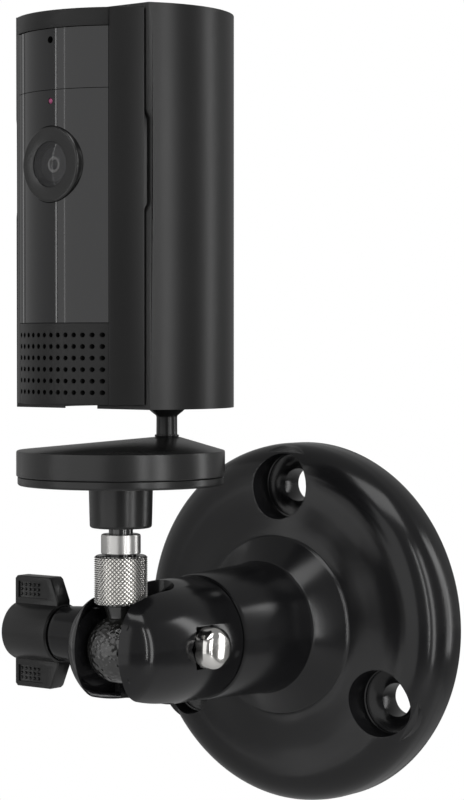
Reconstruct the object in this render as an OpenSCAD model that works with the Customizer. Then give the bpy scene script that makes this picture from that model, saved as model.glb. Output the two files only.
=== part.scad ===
// Baby monitor camera: a small upright cylinder camera on its round stand,
// screwed on a ball-head wall mount. Millimetres, +Z up.
// The wall is the plane y = 0, the mount's arm points along -Y, and the
// camera looks along -Y. x = 0, z = 0 is the axis of the arm.

// Sub-part to draw, "all" for the whole object

/* [Wall flange] */
// Outer diameter of the round flange
flange_d = 80; // [64:1:110]
// Thickness at the top of its rounded rim
flange_t = 12; // [9:0.5:16]
// Radius of the rolled rim
rim_roll = 6; // [3:0.5:8]
// Distance from a screw hole's centre to the flange's edge
hole_edge = 9.4; // [8.5:0.1:12]
// Diameter of the three wall screw holes
hole_d = 7.4; // [4:0.1:8]
// Diameter of the counterbore over each wall screw hole
cbore_d = 14.5; // [9:0.1:15]
// Height of the counterbore's floor above the wall
cbore_floor = 5.6; // [3:0.2:8]
// Wall thickness of the hollow flange
flange_wall = 3.2; // [2:0.1:5]

/* [Neck] */
// Diameter of the conical collar at the foot of the neck
collar_d = 39; // [32:0.5:46]
// Diameter of the neck at its root
neck_root_d = 28.8; // [24:0.1:34]
// Diameter of the neck at its tip
neck_tip_d = 26.6; // [22:0.1:32]
// Distance from the wall to the neck's tip
neck_l = 41.9; // [34:0.1:60]
// Diameter of the screw that the arm turns on
swivel_d = 8; // [6:0.1:10]
// Diameter of that screw's head
swivel_head_d = 14; // [11:0.5:16]

/* [Arm] */
// Diameter of the arm
arm_d = 26; // [22:0.5:32]
// Distance from the neck's tip to the ball's centre
arm_l = 24.7; // [20:0.1:40]
// Depth to which the ball sits in each cheek's cup
cup_depth = 1.2; // [0.6:0.1:1.6]
// How far the slot's round end lies behind the ball's centre
slot_back = 13.8; // [11:0.1:18]
// How far the arm's nose lies ahead of the ball's centre
nose_l = 8.6; // [7:0.1:12]
// Diameter of the clamp bolt
bolt_d = 6; // [4:0.1:8]
// How far the clamp bolt lies behind the ball's centre
bolt_back = 12.1; // [10:0.1:16]
// Diameter of the bolt's domed head
bolt_head_d = 8.6; // [8:0.1:11]
// Distance from the middle to the end of the domed head
bolt_head_x = 16.8; // [14:0.1:20]
// Depth of the flat on the arm beside the bolt
flat_depth = 0.6; // [0.3:0.1:1.5]

/* [Wing nut] */
// Diameter of the hub
hub_d = 12.8; // [11:0.1:16]
// Distance from the middle to the hub's inner end
hub_x = 26.1; // [20:0.1:30]
// Length of the hub
hub_l = 12.8; // [9:0.1:18]
// Distance across the two wings
wing_span = 24; // [20:0.5:34]
// Thickness of a wing
wing_t = 4.2; // [3:0.1:6]

/* [Ball stud] */
// Diameter of the ball
ball_d = 14; // [13:0.1:16]
// Diameter of the stud's thread
stud_d = 6.2; // [5:0.1:7]
// Diameter of the knurled lock nut
nut_d = 10.98; // [9:0.02:11.2]
// Height of the knurled lock nut
nut_l = 10.05; // [6:0.05:14]
// Diameter of the bright collar above it
ring_d = 8.1; // [7.4:0.1:10]
// Height of the bright collar
ring_l = 4.05; // [2:0.05:6]

/* [Stand] */
// Diameter of the stand's upper plate
base_d = 42.46; // [36:0.02:60]
// Height of the upper plate's rim
base_rim_h = 5.2; // [4.4:0.1:9]
// How far its conical top rises to the stem's foot
base_rise = 2.2; // [0.5:0.1:4]
// Thickness of the lower plate
base_plate_t = 1.8; // [1.4:0.1:3]
// How far the lower plate's edge is set in
base_inset = 0.25; // [0.1:0.05:1]
// Diameter of the screw boss under the stand
boss_d = 12.9; // [11:0.1:18]
// Height of the screw boss
boss_l = 8.75; // [6:0.05:14]
// Diameter of the stem
stem_d = 4.36; // [3.4:0.02:6]
// Diameter of the stem's ball
stem_ball_d = 10; // [8:0.1:11.5]
// Height of the ball's centre above the stem's foot
stem_l = 9.1; // [8.6:0.1:16]
// Distance from the stand's edge to the stem's axis
stem_edge = 6.38; // [5:0.02:12]
// Distance from the housing's back to the stem's axis
stem_inset = 7.95; // [7.8:0.05:12]

/* [Camera housing] */
// Height of the housing
body_h = 77.46; // [66:0.02:110]
// Diameter over the glossy front
front_d = 43.5; // [38:0.1:54]
// Wall thickness of the housing
body_wall = 1.6; // [1.2:0.1:2.4]
// Turn of the camera on its stem at rest
aim_yaw = -2; // [-10:0.5:10]
// Thickness of the rear cover
cover_t = 1.2; // [0.9:0.1:2]
// Distance from the axis forward to the rear cover's edge
cover_edge = 13; // [8:0.1:14]
// How far the rear cover stands above the housing
cover_over = 1.03; // [0.6:0.01:2]
// How far the rear cover stands below the housing
cover_under = 0.95; // [0.6:0.01:2]

/* [Camera front] */
// Half the angle that the windows and the grille cover
face_a = 34; // [26:0.5:38]
// Height of the grille
grille_h = 16.05; // [14.4:0.05:22]
// Height of the upper window
upper_h = 12.15; // [8:0.05:16]
// Height of the matt band at the top
band_w = 3.46; // [2.4:0.02:6]
// Thickness of the windows and the grille
window_t = 1.4; // [1:0.1:2]
// Diameter of a grille hole
grille_hole_d = 1; // [0.6:0.05:1.3]
// Distance from the grille's side to the outermost holes
grille_side = 1.15; // [0.9:0.05:2.5]
// Height of the lowest row
grille_z0 = 2.41; // [1.6:0.01:3]
// Distance from the grille's top down to the highest row
grille_z1 = 2.34; // [1.2:0.01:3]
// Number of rows
grille_rows = 6; // [3:1:7]
// Number of columns, odd
grille_cols = 13; // [5:2:13]
// Diameter of the lens bezel
bezel_d = 15; // [12:0.1:18]
// Distance from the split between the windows down to the lens
lens_drop = 14.55; // [12:0.05:20]
// How far the bezel's flat face stands ahead of the front's crown
bezel_proud = 0.25; // [0.1:0.05:1.5]
// Distance from the split between the windows down to the status light
led_drop = 2.13; // [1.4:0.01:4]
// Distance from the matt band down to the microphone hole
mic_drop = 2.28; // [1.2:0.01:6]

/* [Clearances] */
// Radial clearance of a shaft in its bore
run_gap = 0.08; // [0.02:0.01:0.1]
// Gap between pieces that turn on each other
part_gap = 0.3; // [0.2:0.05:0.6]
// Gap around pieces that only fit in
seat_gap = 0.1; // [0.05:0.05:0.2]

/* [Hidden] */
$fn = 96;
e = 0.01;
flange_r = flange_d / 2;
hole_r = hole_d / 2;
hole_pitch_r = flange_r - hole_edge;
collar_r = collar_d / 2;
collar_y = flange_t + 2.3;
flange_back = flange_t - flange_wall - 0.6;
flange_in_r = flange_r - flange_wall - 1.5;
neck_root_r = neck_root_d / 2;
neck_root_y = collar_y + (collar_r - neck_root_r);
neck_tip_r = neck_tip_d / 2;
swivel_r = swivel_d / 2;
swivel_bore_r = swivel_r + run_gap;
swivel_seat_y = neck_l - 11;
arm_r = arm_d / 2;
arm_y = neck_l + part_gap;
ball_y = neck_l + arm_l;
slot_end_y = ball_y - slot_back;
bolt_y = ball_y - bolt_back;
bolt_r = bolt_d / 2;
flat_x = arm_r - flat_depth;
bolt_pocket_x = flat_x - 3.2;
spacer_x = flat_x;
ball_r = ball_d / 2;
slot_w = ball_d - 2 * cup_depth;
slot_r = slot_w / 2;
stud_r = stud_d / 2;
nut_z = ball_r + 2.1;
ring_z = nut_z + nut_l + part_gap;
ring_top = ring_z + ring_l;
boss_z = ring_top + 1.25;
plate_z = boss_z + boss_l;
insert_r = boss_d / 2 - 2;
cover_z = plate_z + base_plate_t + 0.04;
rim_z = cover_z + base_rim_h;
foot_z = rim_z + base_rise;
base_r = base_d / 2;
base_wall = 1.8;
base_top = 1.7;
stem_r = stem_d / 2;
stem_off = base_r - stem_edge;
stem_y = ball_y - stem_off;
stem_ball_r = stem_ball_d / 2;
stem_ball_z = foot_z + stem_l;
body_z = stem_ball_z - 1.62;
front_r = front_d / 2;
core_r = front_r - 0.8;
cavity_r = core_r - body_wall;
stem_back = core_r - stem_inset;
floor_t = 2;
roof_t = 1.8;
cover_in = core_r + seat_gap;
cover_r = cover_in + cover_t;
socket_r = stem_ball_r + 1.8;
window_in = front_r - window_t;
frame_in = window_in - 0.85;
bezel_r = bezel_d / 2;
bezel_y = front_r + bezel_proud;
band_h = body_h - band_w;
split_h = band_h - upper_h;
lens_h = split_h - lens_drop;
led_h = split_h - led_drop;
mic_h = band_h - mic_drop;
glass_r = bezel_r * 0.59;
barrel_r = 3.4;
board_y = cavity_r - 8.35;
board_t = 1.6;
board_half = sqrt(pow(cavity_r, 2) - pow(board_y + board_t, 2)) - 0.69;
sensor_y = -8;
grille_in = front_r - 1.6;
grille_px = 2 * (front_r * sin(face_a) - grille_side) / (grille_cols - 1);
grille_pz = (grille_h - grille_z0 - grille_z1) / (grille_rows - 1);
speaker_y = grille_in - 3.95;

// Places a child that is drawn along +Z so that it points from the wall along -Y.
module from_wall(y = 0) translate([0, -y, 0]) rotate([90, 0, 0]) children();

// Places a child that is drawn along +Z so that it points along +X.
module along_x(x = 0) translate([x, 0, 0]) rotate([0, 90, 0]) children();

// Moves children to the ball's centre.
module at_ball() translate([0, -ball_y, 0]) children();

// Moves children to the camera: its axis, its underside, its front along -Y.
module at_camera()
    translate([0, -stem_y, body_z]) rotate([0, 0, aim_yaw]) translate([0, -stem_back, 0])
        children();

module tube(ro, ri, h) difference() {
    cylinder(r = ro, h = h);
    translate([0, 0, -1]) cylinder(r = ri, h = h + 2);
}

// Wedge of half angle a about the -Y direction.
module wedge(a, z0, z1)
    translate([0, 0, z0]) linear_extrude(z1 - z0)
        polygon([[0, 0], [-60 * sin(a), -60 * cos(a)], [60 * sin(a), -60 * cos(a)]]);

// Curved plate between two radii, over the half angle a about the front.
module bent_plate(ri, ro, a, z0, z1) intersection() {
    translate([0, 0, z0]) tube(ro, ri, z1 - z0);
    wedge(a, z0 - 1, z1 + 1);
}

// Places children at the three wall screws.
module at_wall_screws() for (a = [90, 210, 330])
    rotate([0, -a, 0]) translate([hole_pitch_r, 0, 0]) children();

// ---- Wall flange ----

module flange_outline() {
    roll_r = flange_r - rim_roll;
    polygon([[0, 0], [flange_r - 0.8, 0], [flange_r, 0.8], [flange_r, flange_t - rim_roll],
             [roll_r, flange_t - rim_roll], [roll_r, flange_t], [roll_r - 3.5, flange_t + 0.35],
             [roll_r - 7, flange_t + 0.9], [roll_r - 10.5, flange_t + 1.55],
             [collar_r, flange_t + 1.7], [collar_r, collar_y], [neck_root_r, neck_root_y],
             [neck_tip_r, neck_l - 0.6], [neck_tip_r - 0.6, neck_l], [0, neck_l]]);
    translate([roll_r, flange_t - rim_roll]) intersection() {
        circle(rim_roll);
        square(rim_roll);
    }
}

module flange_cuts() {
    at_wall_screws() from_wall(-1) {
        cylinder(r = hole_r, h = flange_t + 8);
        translate([0, 0, cbore_floor + 1]) cylinder(r = cbore_d / 2, h = flange_t + 8);
        translate([0, 0, cbore_floor - 0.4])
            cylinder(r1 = hole_r, r2 = cbore_d / 2 - 1.2, h = 1.4 + e);
    }
    from_wall(-1) cylinder(r = swivel_head_d / 2 + 0.8, h = swivel_seat_y + 1);
    from_wall() cylinder(r = swivel_bore_r, h = neck_l + 1);
}

// The flange is one moulded piece with a hollow back. It is drawn as its front with
// the collar, its neck, its rim, and the posts that stand inside the rim.
module wall_flange() color([0.03, 0.03, 0.035]) difference() {
    intersection() {
        from_wall() rotate_extrude() flange_outline();
        from_wall(flange_back) cylinder(r = flange_r + 1, h = neck_root_y - flange_back);
    }
    flange_cuts();
}

module flange_neck() color([0.03, 0.03, 0.035]) difference() {
    intersection() {
        from_wall() rotate_extrude() flange_outline();
        from_wall(neck_root_y) cylinder(r = neck_root_r + 1, h = neck_l);
    }
    flange_cuts();
}

module flange_rim() color([0.03, 0.03, 0.035]) difference() {
    intersection() {
        from_wall() rotate_extrude() flange_outline();
        from_wall(-1) cylinder(r = flange_r + 1, h = flange_back + 1);
    }
    from_wall(-1) cylinder(r = flange_in_r, h = flange_back + 2);
    flange_cuts();
}

module flange_posts() color([0.03, 0.03, 0.035]) difference() {
    union() {
        from_wall() cylinder(r = swivel_head_d / 2 + 4.5, h = flange_back);
        intersection() {
            at_wall_screws() from_wall() cylinder(r = cbore_d / 2 + 1.6, h = flange_back);
            from_wall(-1) cylinder(r = flange_in_r, h = flange_back + 2);
        }
    }
    flange_cuts();
}

module swivel_washer() color([0.6, 0.6, 0.62])
    from_wall(swivel_seat_y - 0.82) tube(swivel_head_d / 2 + 0.4, swivel_r + 0.3, 0.8);

module swivel_screw() color([0.6, 0.6, 0.62]) difference() {
    from_wall() {
        translate([0, 0, swivel_seat_y - 5.84]) cylinder(r = swivel_head_d / 2, h = 5);
        translate([0, 0, swivel_seat_y - 1]) cylinder(r = swivel_r, h = arm_y + 6.5 - swivel_seat_y + 1);
    }
    from_wall(swivel_seat_y - 6.84) cylinder(d = 6.9, h = 4, $fn = 6);
}

// ---- Arm ----

// Half outline of the arm: straight, then a long shallow arc, a tight shoulder and a blunt nose.
module arm_outline() {
    side_r = 62;
    shoulder_r = 6;
    tip_r = 15;
    taper_y = slot_end_y + 3.2;
    end_y = ball_y + nose_l + 0.3;
    // centre of the shoulder: it touches the side's arc from inside and the nose's arc
    side_x = arm_r - side_r;
    tip_y = end_y - tip_r;
    gap = norm([side_x, taper_y - tip_y]);
    p = side_r - shoulder_r;
    q = tip_r - shoulder_r;
    along = (pow(p, 2) - pow(q, 2) + pow(gap, 2)) / (2 * gap);
    off = sqrt(pow(p, 2) - pow(along, 2));
    ux = -side_x / gap;
    uy = (tip_y - taper_y) / gap;
    shoulder_x = side_x + along * ux - off * uy;
    shoulder_y = taper_y + along * uy + off * ux;
    a1 = atan2(shoulder_y - taper_y, shoulder_x - side_x);
    a2 = atan2(shoulder_y - tip_y, shoulder_x);
    touch_1 = [side_x + side_r * cos(a1), taper_y + side_r * sin(a1)];
    touch_2 = [tip_r * cos(a2), tip_y + tip_r * sin(a2)];
    polygon([[0, arm_y], [arm_r - 0.5, arm_y], [arm_r, arm_y + 0.5], [arm_r, taper_y], [0, taper_y]]);
    intersection() {
        translate([side_x, taper_y]) circle(side_r, $fn = 256);
        polygon([[0, taper_y], [arm_r + 1, taper_y], [arm_r + 1, touch_1[1]], touch_1,
                 [shoulder_x, shoulder_y], [0, shoulder_y]]);
    }
    intersection() {
        translate([shoulder_x, shoulder_y]) circle(shoulder_r);
        polygon([[shoulder_x, shoulder_y], touch_1, touch_1 + [4, 4], touch_2 + [4, 4], touch_2]);
    }
    intersection() {
        translate([0, tip_y]) circle(tip_r);
        polygon([[0, shoulder_y - e], [shoulder_x, shoulder_y - e], touch_2, touch_2 + [0, 6], [0, touch_2[1] + 6]]);
    }
}

module clamp_arm() color([0.03, 0.03, 0.035]) difference() {
    from_wall() rotate_extrude() arm_outline();
    // slot for the ball and its stud, open at the top, the front and the bottom
    translate([0, -slot_end_y - slot_r, -30]) cylinder(r = slot_r, h = 60);
    translate([-slot_r, -slot_end_y - slot_r - 40, -30]) cube([slot_w, 40, 60]);
    // cups that grip the ball
    at_ball() sphere(r = ball_r + seat_gap);
    // clamp bolt, its hexagon pocket and the flats beside it
    translate([0, -bolt_y, 0]) {
        along_x(-30) cylinder(r = bolt_r + 0.15, h = 60);
        along_x(bolt_pocket_x) rotate([0, 0, 30])
            cylinder(d = (bolt_head_d + 0.2) / cos(30), h = 20, $fn = 6);
    }
    for (s = [-1, 1]) translate([s > 0 ? flat_x : -flat_x - 10, -bolt_y - 9, -20]) cube([10, 18, 40]);
    from_wall(arm_y - 1) cylinder(r = swivel_r, h = 7.6);
}

module clamp_bolt() color([0.75, 0.75, 0.77]) translate([0, -bolt_y, 0]) {
    edge_r = 2.2;
    head_l = bolt_head_x - bolt_pocket_x - 0.05;
    along_x(-hub_x - hub_l + 2.6) cylinder(r = bolt_r, h = hub_x + hub_l - 2.6 + bolt_pocket_x + 0.5);
    along_x(bolt_pocket_x + 0.05) rotate_extrude() {
        square([bolt_head_d / 2 - edge_r, head_l]);
        square([bolt_head_d / 2, head_l - edge_r]);
        translate([bolt_head_d / 2 - edge_r, head_l - edge_r]) intersection() {
            circle(edge_r);
            square(edge_r);
        }
    }
}

module wing_spacer() color([0.03, 0.03, 0.035]) translate([0, -bolt_y, 0])
    difference() {
        along_x(-hub_x + part_gap) cylinder(d1 = hub_d - 0.9, d2 = hub_d + 0.6, h = hub_x - part_gap - spacer_x);
        along_x(-hub_x - 1) cylinder(r = bolt_r + 0.15, h = hub_x);
    }

// ---- Wing nut ----

module wing_profile()
    polygon([[-hub_l / 2 + 0.3, 0], [-hub_l / 2 + 0.3, wing_span / 2 - 0.6],
             [-hub_l / 2 + 0.9, wing_span / 2], [hub_l / 2 - 2.6, wing_span / 2],
             [hub_l / 2 - 2, wing_span / 2 - 0.5], [hub_l / 2 + 1.4, hub_d / 2 - 0.6],
             [hub_l / 2 - 0.2, 0]]);

module wing_nut() color([0.03, 0.03, 0.035])
    translate([-hub_x - hub_l / 2, -bolt_y, 0]) difference() {
        union() {
            along_x(-hub_l / 2) cylinder(d = hub_d, h = hub_l);
            difference() {
                for (s = [0, 180]) rotate([s, 0, 0]) translate([0, wing_t / 2, 0]) rotate([90, 0, 0])
                    linear_extrude(wing_t) wing_profile();
                // the wings' roots reach past the hub, clear of the spacer
                along_x(hub_l / 2) cylinder(d = hub_d + 0.6, h = 5);
            }
        }
        // recessed grip panels
        for (s = [0, 180], f = [-1, 1]) rotate([s, 0, 0])
            translate([-hub_l / 2 + 1.6, f > 0 ? wing_t / 2 - 0.5 : -wing_t / 2 - 1, hub_d / 2 + 0.7])
                cube([hub_l - 6.4, 1.5, wing_span / 2 - hub_d / 2 - 2]);
        along_x(-hub_l / 2 + 2.2) cylinder(r = bolt_r + 1.3, h = hub_l + 2);
    }

module wing_nut_insert() color([0.72, 0.6, 0.35])
    translate([-hub_x - hub_l / 2, -bolt_y, 0])
        along_x(-hub_l / 2 + 2.3) tube(bolt_r + 1.25, bolt_r + run_gap, hub_l - 2.5);

// ---- Ball stud ----

module ball_stud() color([0.05, 0.05, 0.05]) at_ball() {
    sphere(r = ball_r);
    translate([0, 0, ball_r * 0.9]) cylinder(r1 = stud_r - 0.25, r2 = stud_r + 0.4, h = nut_z - 0.3 - ball_r * 0.9);
    translate([0, 0, nut_z - 0.5]) cylinder(r = stud_r, h = ring_top - nut_z + 0.5);
    translate([0, 0, ring_top - e]) cylinder(r = stud_r - 0.64, h = 1.6);
    translate([0, 0, ring_top + 1.5]) cylinder(r = stud_r, h = boss_l - 1.6);
}

module knurled_lock_nut() color([0.7, 0.7, 0.7]) at_ball() translate([0, 0, nut_z]) difference() {
    rotate_extrude() polygon([[0, 0], [nut_d / 2 - 0.4, 0], [nut_d / 2, 0.4],
        [nut_d / 2, nut_l - 0.4], [nut_d / 2 - 0.4, nut_l], [0, nut_l]]);
    translate([0, 0, -1]) cylinder(r = stud_r + run_gap, h = nut_l + 2);
}

module stud_collar() color([0.8, 0.8, 0.8]) at_ball() translate([0, 0, ring_z]) difference() {
    rotate_extrude() polygon([[0, 0], [ring_d / 2, 0], [ring_d / 2, ring_l - 0.3],
        [ring_d / 2 - 0.3, ring_l], [0, ring_l]]);
    translate([0, 0, -1]) cylinder(r = stud_r, h = ring_l + 2);
}

// ---- Stand ----

module adapter_boss() color([0.03, 0.03, 0.035]) at_ball() difference() {
    union() {
        translate([0, 0, boss_z]) rotate_extrude() polygon([[0, 0], [boss_d / 2 - 0.7, 0],
            [boss_d / 2 - 0.25, 0.25], [boss_d / 2 - 0.1, 0.7], [boss_d / 2 + 0.1, boss_l], [0, boss_l]]);
        translate([0, 0, plate_z - e]) cylinder(r = insert_r + 0.4, h = base_plate_t - 0.2);
    }
    translate([0, 0, boss_z - 1]) cylinder(r = stud_r + 0.5, h = 3);
    translate([0, 0, boss_z + 0.6]) cylinder(r = insert_r, h = boss_l - 0.8);
}

module adapter_insert() color([0.72, 0.6, 0.35]) at_ball()
    translate([0, 0, boss_z + 0.65]) tube(insert_r, stud_r + run_gap, boss_l - 0.95);

module at_base_screws() for (a = [210, 330, 90]) rotate([0, 0, a])
    translate([a == 90 ? base_r * 0.28 + 3 : base_r - base_wall - 4, 0, 0]) children();

module base_plate() color([0.03, 0.03, 0.035]) at_ball() difference() {
    translate([0, 0, plate_z]) {
        rotate_extrude() {
            polygon([[0, 0], [base_r - base_inset - 0.5, 0], [base_r - base_inset - 0.5, base_plate_t],
                     [0, base_plate_t]]);
            translate([base_r - base_inset - 0.5 - e, 0.5]) square([0.5 + e, base_plate_t - 0.5]);
            translate([base_r - base_inset - 0.5, 0.5]) intersection() {
                circle(0.5);
                translate([0, -1]) square(1);
            }
        }
        translate([0, 0, base_plate_t - e]) tube(base_r - base_wall - seat_gap, base_r - base_wall - 1.4, 0.9);
    }
    translate([0, 0, plate_z - 1]) cylinder(r = insert_r + 0.4 + seat_gap, h = base_plate_t + 2);
    at_base_screws() translate([0, 0, plate_z - 1]) {
        cylinder(r = 0.9, h = 6);
        cylinder(r = 1.9, h = 1.9);
    }
}

module base_cover() color([0.03, 0.03, 0.035]) at_ball() difference() {
    union() {
        translate([0, 0, cover_z]) cylinder(r = base_r, h = base_rim_h);
        hull() {
            translate([0, 0, rim_z - 0.05]) cylinder(r = base_r, h = 0.05);
            translate([0, stem_off, foot_z - 0.05]) cylinder(r = stem_r + 0.7, h = 0.05);
        }
    }
    difference() {
        translate([0, 0, cover_z - 1]) cylinder(r = base_r - base_wall, h = base_rim_h - base_top + 1);
        translate([0, stem_off, cover_z + 2.2]) cylinder(r = stem_r + 2.4, h = base_rim_h);
        at_base_screws() translate([0, 0, cover_z + 0.1]) cylinder(r = 2, h = base_rim_h);
    }
    translate([0, stem_off, cover_z]) cylinder(r = stem_r + run_gap, h = foot_z - cover_z + 1);
    at_base_screws() translate([0, 0, cover_z - 1]) cylinder(r = 0.7, h = 4);
}

module base_weight() color([0.5, 0.5, 0.52]) at_ball() difference() {
    translate([0, 0, plate_z + base_plate_t + 0.02])
        cylinder(r = base_r - base_wall - 1.6, h = base_rim_h - base_top - 0.6);
    translate([0, stem_off, plate_z]) cylinder(r = stem_r + 2.9, h = 10);
    at_base_screws() translate([0, 0, plate_z]) cylinder(r = 2.5, h = 10);
    translate([0, 0, plate_z]) cylinder(r = insert_r + 1, h = base_plate_t + 1);
}

module base_screws() color([0.6, 0.6, 0.62]) at_ball() at_base_screws() {
    translate([0, 0, plate_z + 0.05]) cylinder(r = 1.6, h = 0.8);
    translate([0, 0, plate_z + 0.8]) cylinder(r = 0.7, h = base_plate_t + 1.4);
}

// ---- Stem ----

module stem() color([0.03, 0.03, 0.035]) translate([0, -stem_y, 0]) {
    neck_a = 40.9;
    rotate_extrude() {
        polygon([[0, cover_z + 1.2], [stem_r - 0.4, cover_z + 1.2], [stem_r - 0.4, cover_z + 2.2],
                 [stem_r, cover_z + 2.2], [stem_r, foot_z + stem_l * 0.48],
                 [stem_ball_r * sin(neck_a), stem_ball_z - stem_ball_r * cos(neck_a)], [0, stem_ball_z]]);
        intersection() {
            translate([0, stem_ball_z]) circle(stem_ball_r);
            translate([0, stem_ball_z - stem_ball_r]) square([stem_ball_r, stem_ball_d]);
        }
    }
    translate([0, 0, foot_z + 0.05]) cylinder(r = stem_r + 0.35, h = 0.5);
}

module stem_clip() color([0.6, 0.6, 0.62]) translate([0, -stem_y, cover_z + 1.3]) difference() {
    cylinder(r = stem_r + 1.4, h = 0.8);
    translate([0, 0, -1]) cylinder(r = stem_r - 0.4, h = 3);
    translate([-1.2, -5, -1]) cube([2.4, 5, 3]);
}

// ---- Camera housing ----

module socket_hollow(z0, z1) difference() {
    translate([0, stem_back, z0]) cylinder(r = socket_r, h = z1 - z0);
    translate([0, stem_back, stem_ball_z - body_z]) sphere(r = stem_ball_r + 0.06);
}

module socket_cup() color([0.1, 0.1, 0.1]) at_camera()
    socket_hollow(stem_ball_z - body_z + 0.02, stem_ball_z - body_z + stem_ball_r + 1.6);

module socket_ring() color([0.05, 0.05, 0.05]) at_camera()
    socket_hollow(-0.6, stem_ball_z - body_z);

module inlet_hole(dy, w, h) translate([-w / 2, cavity_r - 3, 17 - h / 2]) cube([w, dy + 3, h]);

module at_board_posts() for (x = [3 - board_half, board_half - 3], z = [24, body_h - 15.46]) translate([x, 0, z]) children();

module rear_housing() color([0.03, 0.03, 0.03]) at_camera() difference() {
    union() {
        difference() {
            cylinder(r = core_r, h = body_h);
            translate([0, 0, floor_t]) cylinder(r = cavity_r, h = body_h - floor_t - roof_t);
            wedge(50, floor_t, body_h - roof_t);
        }
        // posts of the main board, merged into the rear wall
        intersection() {
            at_board_posts() translate([0, board_y + board_t, 0]) rotate([-90, 0, 0])
                cylinder(r = 2, h = cavity_r);
            cylinder(r = core_r - 0.5, h = body_h);
        }
        // collar that carries the socket
        translate([0, stem_back, 0]) intersection() {
            cylinder(r = socket_r + 1.1, h = 6);
            translate([0, -stem_back, 0]) cylinder(r = core_r - 0.3, h = 10);
        }
    }
    translate([0, stem_back, -1]) cylinder(r = socket_r + seat_gap, h = 20);
    bent_plate(grille_in - seat_gap, front_r, face_a, -1, floor_t + e);
    at_board_posts() translate([0, board_y, 0]) rotate([-90, 0, 0]) cylinder(r = 0.75, h = 5);
    inlet_hole(core_r, 9.4, 3.8);
}

module front_frame() color([0.035, 0.035, 0.035]) at_camera() difference() {
    union() {
        intersection() {
            tube(front_r, core_r + 0.03, body_h);
            translate([-40, -60, -1]) cube([80, 60 - cover_edge - seat_gap, body_h + 2]);
        }
        bent_plate(frame_in, core_r + 0.05, 49.6, floor_t + seat_gap, body_h - roof_t - seat_gap);
        bent_plate(front_r - e, front_r + 0.45, face_a, band_h, body_h);
    }
    bent_plate(window_in - seat_gap, front_r + 1, face_a, grille_h, band_h);
    bent_plate(frame_in - 1, front_r + 1, face_a, -1, grille_h + e);
    translate([0, 0, lens_h]) rotate([90, 0, 0]) cylinder(r = bezel_r + seat_gap, h = 40);
    for (z = [led_h, mic_h]) translate([0, 0, z]) rotate([90, 0, 0]) cylinder(r = 1, h = 40);
    for (x = [-6, 6]) translate([x, 0, split_h - 3]) rotate([90, 0, 0]) cylinder(r = 1.6, h = 40);
}

module rear_cover() color([0.035, 0.035, 0.035]) at_camera() {
    z0 = -cover_under;
    h = body_h + cover_under + cover_over;
    notch = 0.5;
    difference() {
        translate([0, 0, z0]) cylinder(r = cover_r, h = h);
        translate([0, 0, -0.03]) cylinder(r = cover_in, h = body_h + 0.06);
        translate([0, 0, z0 - 1]) cylinder(r = stem_back + 0.7, h = cover_under + 2);
        translate([-40, -60 - cover_edge, z0 - 1]) cube([80, 60, h + 2]);
        // shallow thumb notch in the front edges
        translate([-40, -cover_edge - 1, 38.3]) cube([80, 1 + notch, 18.8]);
        translate([0, stem_back, z0 - 1]) cylinder(r = socket_r + 0.4, h = cover_under + 2);
        inlet_hole(core_r + 3, 11, 6.5);
    }
}

// ---- Camera front ----

module upper_window() color([0.01, 0.01, 0.012]) at_camera() difference() {
    bent_plate(window_in, front_r, face_a - 0.3, split_h + 0.1, band_h - 0.12);
    translate([0, 0, mic_h]) rotate([90, 0, 0]) cylinder(r = 0.7, h = 40);
}

module lower_window() color([0.01, 0.01, 0.012]) at_camera() difference() {
    bent_plate(window_in, front_r, face_a - 0.3, grille_h + 0.1, split_h);
    translate([0, 0, lens_h]) rotate([90, 0, 0]) cylinder(r = bezel_r + seat_gap, h = 40);
    translate([0, 0, led_h]) rotate([90, 0, 0]) cylinder(r = 0.65, h = 40);
}

module speaker_grille() color([0.03, 0.03, 0.03]) at_camera() difference() {
    bent_plate(grille_in, front_r, face_a - 0.15, 0, grille_h);
    for (i = [0 : grille_rows - 1], k = [-(grille_cols - 1) / 2 : (grille_cols - 1) / 2])
        translate([k * grille_px, 0, grille_z0 + i * grille_pz]) rotate([90, 0, 0])
            cylinder(d = grille_hole_d, h = 40, $fn = 20);
}

module lens_bezel() color([0.02, 0.02, 0.02]) at_camera() translate([0, -bezel_y, lens_h])
    rotate([-90, 0, 0]) difference() {
        union() {
            cylinder(r = bezel_r, h = bezel_y - frame_in + 1.2);
            translate([0, 0, -0]) cylinder(r = barrel_r + 1.6, h = 7.5);
        }
        translate([0, 0, -1]) cylinder(r = glass_r + 0.05, h = 1.6);
        translate([0, 0, -1]) cylinder(r = barrel_r + 0.05, h = 20);
    }

module lens_glass() color([0.1, 0.1, 0.12]) at_camera() translate([0, -bezel_y + 0.1, lens_h])
    rotate([-90, 0, 0]) cylinder(r = glass_r, h = 0.5);

module lens_barrel() color([0.02, 0.02, 0.02]) at_camera()
    translate([0, -bezel_y + 0.65, lens_h]) rotate([-90, 0, 0]) difference() {
        cylinder(r = barrel_r, h = bezel_y + sensor_y - 2);
        translate([0, 0, -1]) cylinder(r1 = barrel_r - 0.2, r2 = 1.6, h = 2.6);
        translate([0, 0, 1]) cylinder(r = 1.6, h = 20);
    }

module sensor_board() color([0.02, 0.2, 0.1]) at_camera()
    translate([-9, sensor_y, lens_h - 8]) cube([18, 1, 16]);

module image_sensor() color([0.2, 0.2, 0.22]) at_camera()
    translate([-3.2, sensor_y - 1.1, lens_h - 3.2]) cube([6.4, 1.1, 6.4]);

module infrared_leds() color([0.2, 0.1, 0.12]) at_camera() {
    for (x = [-6, 6]) translate([x, -frame_in + 2.9, split_h - 3]) rotate([90, 0, 0]) {
        cylinder(r = 1.4, h = 1);
        translate([0, 0, 1]) sphere(r = 1.2, $fn = 32);
    }
    translate([-9, -frame_in + 2.9 - e, split_h - 6]) cube([18, 1, 6]);
}

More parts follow.
